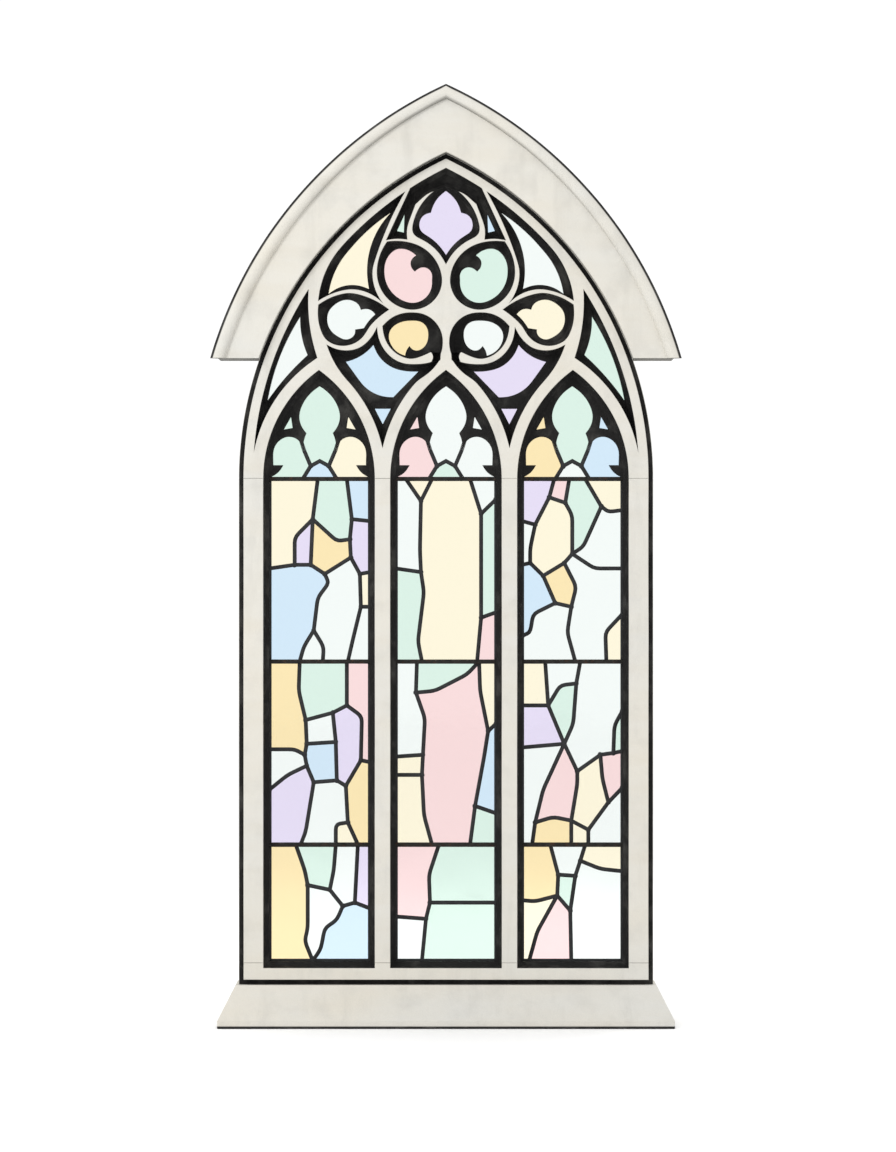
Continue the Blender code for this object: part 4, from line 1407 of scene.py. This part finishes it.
# A light's head: the lead behind the bar, the peak on it and the two legs up to the cusps
HEAD_LEADS = (
    ((-97, 0), (-34, 0), (34, 0), (97, 0)),
    ((-34, 0), (-18, 12.8), (0, 17.7), (18, 12.8), (34, 0)),
    ((-18, 12.8), (-31, 28)),
    ((18, 12.8), (31, 28)),
)


def lead_graph(routes):
    """Every point of the routes with the points that it is joined to, sorted by direction."""
    joined = {}
    for route in routes:
        for a, b in zip(route, route[1:]):
            joined.setdefault(a, set()).add(b)
            joined.setdefault(b, set()).add(a)
    return {
        point: sorted(others, key=lambda o: math.atan2(o[1] - point[1], o[0] - point[0]))
        for point, others in joined.items()
    }


def walks(graph):
    """The closed walks round each pane, and the one round the outside."""
    left = {(a, b) for a, others in graph.items() for b in others}
    found = []
    for edge in sorted(left):
        if edge not in left:
            continue
        walk = []
        while edge in left:
            left.remove(edge)
            walk.append(edge[0])
            a, b = edge
            ring = graph[b]
            edge = (b, ring[ring.index(a) - 1])
        found.append(walk)
    return found


def inset(walk, distance):
    """A walk moved to its left by distance, squared off at a free end or a sharp turn."""
    points = []
    for i, here in enumerate(walk):
        before, after = walk[i - 1], walk[(i + 1) % len(walk)]
        one = np.subtract(here, before) / math.dist(here, before)
        two = np.subtract(after, here) / math.dist(after, here)
        first, second = np.array((-one[1], one[0])), np.array((-two[1], two[0]))
        along = float(first @ second)
        turns_right = one[0] * two[1] - one[1] * two[0] <= NOTHING
        if turns_right and along < math.cos(math.radians(SQUARED_TURN)):
            points.append(tuple(here + first * distance))
            points.append(tuple(here + second * distance))
        else:
            points.append(tuple(here + (first + second) / (1 + along) * distance))
    return points


def panel_border(routes, x0, x1, z0, z1):
    """The four sides of a panel through every lead's end that lies on them."""
    corners = [(x0, z0), (x1, z0), (x1, z1), (x0, z1)]
    ends = [point for route in routes for point in (route[0], route[-1])]
    border = []
    for a, b in zip(corners, corners[1:] + corners[:1]):
        on_side = [
            p for p in ends if abs(math.dist(a, p) + math.dist(p, b) - math.dist(a, b)) < NOTHING
        ]
        border.append((a, *sorted(set(on_side) - {a, b}, key=lambda p: math.dist(a, p)), b))
    return border


def held_within(ring, x0, x1, z0, z1):
    """A ring with whatever reaches past a box moved back to the box's sides."""
    return [(min(max(x, x0), x1), min(max(z, z0), z1)) for x, z in ring]


def panel_spans():
    """Lowest and highest z of each row of panels, which meet behind the bars."""
    gap = CLEARANCE / 2
    low, high, top = BAR_MIDDLES
    return {
        "low": (RAIL_TOP + CLEARANCE, low - gap),
        "middle": (low + gap, high - gap),
        "top": (high + gap, top - gap),
    }


def panel_routes(light, row, box):
    """A panel's leads and its four sides."""
    x0, x1, z0, z1 = box
    routes = [
        rounded((x0 + u * (x1 - x0) / 100, z0 + v * (z1 - z0) / 100) for u, v in route)
        for route in LEADS[light, row]
    ]
    return [*routes, *panel_border(routes, *(round(side, DECIMALS) for side in box))]


def head_routes(axis):
    """The leads of a light's head, from the half lead behind the bar up to the cusps."""
    foot = SPRING + CLEARANCE
    return [
        rounded((axis + u * HALF_LIGHT / 100, foot + v * LIGHT_RISE / 100) for u, v in route)
        for route in HEAD_LEADS
    ]


# Finishes


class Finish:
    """A material and its node tree, with short calls to add nodes to it."""

    def __init__(self, name, **fixed):
        self.material = bpy.data.materials.new(name)
        self.material.use_nodes = True
        self.tree = self.material.node_tree
        self.shader = self.tree.nodes["Principled BSDF"]
        for socket, value in fixed.items():
            self.shader.inputs[socket.replace("_", " ")].default_value = value
        self.place = self.tree.nodes.new("ShaderNodeTexCoord").outputs["Object"]

    def node(self, kind, inputs=(), **settings):
        made = self.tree.nodes.new(kind)
        for key, value in settings.items():
            setattr(made, key, value)
        for key, value in inputs:
            if isinstance(value, bpy.types.NodeSocket):
                self.tree.links.new(value, made.inputs[key])
            else:
                made.inputs[key].default_value = value
        return made

    def stretched(self, scale):
        return self.node("ShaderNodeMapping", [("Vector", self.place), ("Scale", scale)]).outputs[0]

    def noise(self, scale, detail=4.0, rough=0.55, place=None):
        inputs = [("Vector", place or self.place), ("Scale", scale), ("Detail", detail)]
        return self.node("ShaderNodeTexNoise", [*inputs, ("Roughness", rough)]).outputs[0]

    def cells(self, scale):
        inputs = [("Vector", self.place), ("Scale", scale)]
        return self.node("ShaderNodeTexVoronoi", inputs).outputs["Distance"]

    def split(self, vector):
        return self.node("ShaderNodeSeparateXYZ", [("Vector", vector)]).outputs

    def ranged(self, value, low, high, to_low=0.0, to_high=1.0):
        inputs = [("Value", value), ("From Min", low), ("From Max", high)]
        inputs += [("To Min", to_low), ("To Max", to_high)]
        return self.node("ShaderNodeMapRange", inputs).outputs[0]

    def math(self, operation, a, b=0.0):
        return self.node("ShaderNodeMath", [(0, a), (1, b)], operation=operation).outputs[0]

    def product(self, first, *others):
        for value in others:
            first = self.math("MULTIPLY", first, value)
        return first

    def mixed(self, share, a, b):
        """Colours a and b, each a socket or plain red, green and blue."""
        inputs = [(0, share)]
        for key, value in ((6, a), (7, b)):
            is_socket = isinstance(value, bpy.types.NodeSocket)
            inputs.append((key, value if is_socket else (*value, 1.0)))
        return self.node("ShaderNodeMix", inputs, data_type="RGBA").outputs[2]

    def bumped(self, layers):
        """Bumps from (height, distance in metres, strength), laid over each other."""
        normal = None
        for height, distance, strength in layers:
            inputs = [("Height", height), ("Distance", distance), ("Strength", strength)]
            if normal:
                inputs.append(("Normal", normal))
            normal = self.node("ShaderNodeBump", inputs).outputs[0]
        self.join(normal, "Normal")

    def join(self, value, socket):
        self.tree.links.new(value, self.shader.inputs[socket])


def limestone():
    """Pale dressed limestone: oolitic grain, bedding, rain streaks, and painted shade, near black,
    where it is set back, faces down or turns away.
    """
    stone = Finish("limestone_weathered_with_painted_shade", Metallic=0.0, IOR=1.45, Specular_IOR_Level=0.25)
    broad = stone.noise(1.6, 5.0)
    cloudy = stone.noise(9.0, 6.0, 0.6)
    grain = stone.noise(420.0, 2.0, 0.7)
    flecks = stone.cells(150.0)
    bedding = stone.noise(1.0, 4.0, place=stone.stretched((2.1, 2.1, 15.0)))
    streaks = stone.noise(1.0, 5.0, 0.65, place=stone.stretched((12.0, 6.0, 1.6)))
    tone = stone.mixed(stone.ranged(broad, 0.35, 0.65), STONE_WARM, STONE_COOL)
    tone = stone.mixed(stone.ranged(bedding, 0.42, 0.72, 0.0, 0.22), tone, STONE_BUFF)
    tone = stone.mixed(stone.ranged(cloudy, 0.5, 0.75, 0.0, 0.30), tone, STONE_GREY)
    tone = stone.mixed(stone.ranged(grain, 0.35, 0.62, 0.28, 0.0), tone, STONE_GREY)
    tone = stone.mixed(stone.ranged(flecks, 0.05, 0.16, 0.35, 0.0), tone, STONE_SHELL)
    tone = stone.mixed(stone.ranged(streaks, 0.54, 0.82, 0.0, 0.28), tone, STONE_STAIN)
    # painted shade: near black where the stone is set back, faces down, turns out on the hood's roll,
    # and at the sill's foot
    painted_shade = painted_shade_share(stone, cloudy)
    dark = stone.mixed(stone.ranged(grain, 0.35, 0.65), PAINTED_SHADE_DARK, PAINTED_SHADE_PALE)
    stone.join(stone.mixed(painted_shade, tone, dark), "Base Color")
    stone.join(stone.ranged(cloudy, 0.3, 0.7, 0.78, 0.95), "Roughness")
    pits = stone.ranged(stone.cells(70.0), 0.0, 0.22)
    stone.bumped([(cloudy, 0.004, 0.35), (grain, 0.0006, 0.55), (pits, 0.0012, 0.30)])
    return stone.material


def painted_shade_share(stone, cloudy):
    """How much painted shade, near black, lies here: behind the frame's faces, inside it, and under
    ledges, and on the hood roll's outer flank; the sill is darkened towards its foot as well.
    """
    x, y, z = stone.split(stone.place)
    across = stone.math("ADD", stone.math("ABSOLUTE", x), ARCH_RADIUS - HALF_WIDTH)
    up = stone.math("MAXIMUM", stone.math("SUBTRACT", z, SPRING), 0.0)
    squares = [stone.math("MULTIPLY", value, value) for value in (across, up)]
    reach = stone.math("SQRT", stone.math("ADD", *squares))
    share = stone.product(
        stone.ranged(y, FRONT + PAINTED_SHADE_START, FRONT + PAINTED_SHADE_FULL),
        stone.ranged(y, 0.0, GLASS_BACK, 1.0, INDOOR_PAINTED_SHADE),
        stone.ranged(y, BACK - PAINTED_SHADE_START, BACK - PAINTED_SHADE_FULL),
        stone.ranged(z, SILL_HEIGHT - CLEARANCE, SILL_HEIGHT + PAINTED_SHADE_START),
        stone.ranged(reach, ARCH_RADIUS - RIM_START, ARCH_RADIUS - RIM_FULL),
    )
    facing = stone.node("ShaderNodeNewGeometry").outputs["Normal"]
    # painted shade under ledges and on the hood roll's outer flank, and the sill darkened towards its
    # foot
    for more in (
        stone.ranged(stone.split(facing)["Z"], *UNDERSIDE, 0.0, UNDERSIDE_PAINTED_SHADE),
        stone.ranged(z, *SILL_FOOT_BAND, 1.0, 0.0),
        hood_flank_painted_shade(stone, facing, across, up, reach),
    ):
        share = stone.math("MAXIMUM", share, more)
    return stone.math("MULTIPLY", share, stone.ranged(cloudy, 0.25, 0.5, 0.93, 1.0))


def hood_flank_painted_shade(stone, facing, across, up, reach):
    """How far the hood's roll turns outwards here: away from the centre of the arch's side. There the
    stone takes painted shade on the roll's outer flank.
    """
    x, y, _ = stone.split(stone.place)
    aside, _, upright = stone.split(facing)
    aside = stone.math("MULTIPLY", aside, stone.math("SIGN", x))
    both = [stone.math("MULTIPLY", a, b) for a, b in ((aside, across), (upright, up))]
    outwards = stone.math("DIVIDE", stone.math("ADD", *both), reach)
    return stone.product(
        stone.ranged(outwards, *HOOD_TURN),
        stone.ranged(y, FRONT, FRONT - ARRIS),
        stone.ranged(up, 0.0, ARRIS),
        stone.ranged(reach, ARCH_RADIUS + ARRIS, ARCH_RADIUS + 2 * ARRIS),
    )


def old_lead():
    """Dull lead with a pale oxide bloom."""
    lead = Finish("old_lead", Metallic=0.2, Specular_IOR_Level=0.3)
    patches = lead.noise(28.0, 5.0, 0.6)
    fine = lead.noise(260.0, 3.0)
    tone = lead.mixed(lead.ranged(patches, 0.35, 0.7), LEAD_DARK, LEAD_LIGHT)
    lead.join(lead.mixed(lead.ranged(fine, 0.5, 0.8, 0.0, 0.4), tone, LEAD_BLOOM), "Base Color")
    lead.join(lead.ranged(patches, 0.3, 0.7, 0.48, 0.75), "Roughness")
    lead.bumped([(patches, 0.0008, 0.4), (fine, 0.0003, 0.35)])
    return lead.material


def forged_iron():
    """Blackened wrought iron with rust in its pits."""
    iron = Finish("forged_iron", Metallic=0.75)
    broad = iron.noise(35.0, 6.0, 0.6)
    fine = iron.noise(300.0, 4.0, 0.65)
    rust = iron.ranged(iron.noise(60.0, 6.0, 0.7), 0.56, 0.68)
    tone = iron.mixed(iron.ranged(broad, 0.3, 0.7), IRON_DARK, IRON_LIGHT)
    iron.join(iron.mixed(rust, tone, IRON_RUST), "Base Color")
    iron.join(iron.ranged(fine, 0.3, 0.7, 0.50, 0.80), "Roughness")
    iron.bumped([(broad, 0.0012, 0.5), (fine, 0.0004, 0.5)])
    return iron.material


def glass_tint(name, colour):
    """Hand-made glass: one tint all through, with reams and small seeds in its surface."""
    glass = Finish(
        f"glass_{name}",
        Base_Color=(*colour, 1.0),
        Roughness=GLASS_ROUGHNESS,
        IOR=1.52,
        Transmission_Weight=1.0,
    )
    reams = glass.noise(1.0, 3.0, place=glass.stretched((34.0, 10.0, 9.0)))
    seeds = glass.ranged(glass.cells(55.0), 0.0, 0.09)
    glass.bumped([(reams, 0.0012, 0.5), (seeds, 0.0003, 0.25)])
    return glass.material


# Studio


def make_stage():
    """A pale floor that runs out under the window on all sides."""
    corners = ((-1, -1), (1, -1), (1, 1), (-1, 1))
    points = [(x * STAGE_HALF, y * STAGE_HALF, 0.0) for x, y in corners]
    paper = Finish("pale_paper", Base_Color=(*STAGE_COLOUR, 1.0), Roughness=STAGE_ROUGHNESS)
    mesh_object("pale_stage", points, [(0, 1, 2, 3)], paper.material)


def area_light(name, place, size, power):
    data = bpy.data.lights.new(name, "AREA")
    data.shape = "DISK"
    data.size = size
    data.energy = power
    lamp = bpy.data.objects.new(name, data)
    lamp.location = place
    lamp.rotation_euler = (Vector(LAMP_AIM) - Vector(place)).to_track_quat("-Z", "Y").to_euler()
    bpy.context.scene.collection.objects.link(lamp)


def make_lights():
    for name, lamp in LAMPS.items():
        area_light(name, *lamp)
    world = bpy.data.worlds.new("studio")
    world.use_nodes = True
    world.node_tree.nodes["Background"].inputs["Color"].default_value = (1.0, 1.0, 1.0, 1.0)
    world.node_tree.nodes["Background"].inputs["Strength"].default_value = SKY_STRENGTH
    bpy.context.scene.world = world
    bpy.context.scene.view_settings.view_transform = "Standard"


def make_camera():
    """Level and square on, as an elevation is drawn, with the photograph's margins."""
    data = bpy.data.cameras.new("view")
    data.lens = LENS
    data.sensor_width = SENSOR
    camera = bpy.data.objects.new("view", data)
    camera.location = (VIEW_MIDDLE[0], FRONT - VIEW_HEIGHT * LENS / SENSOR, VIEW_MIDDLE[1])
    camera.rotation_euler = (math.pi / 2, 0.0, 0.0)
    bpy.context.scene.collection.objects.link(camera)
    bpy.context.scene.camera = camera


def main():
    noise.seed_set(NOISE_SEED)
    make_camera()
    make_stage()
    make_lights()
    stone = limestone()
    make_sill(stone)
    make_frame(stone)
    make_hood(stone)
    make_bars(forged_iron())
    make_glazing([glass_tint(*tint) for tint in TINTS], old_lead())


main()
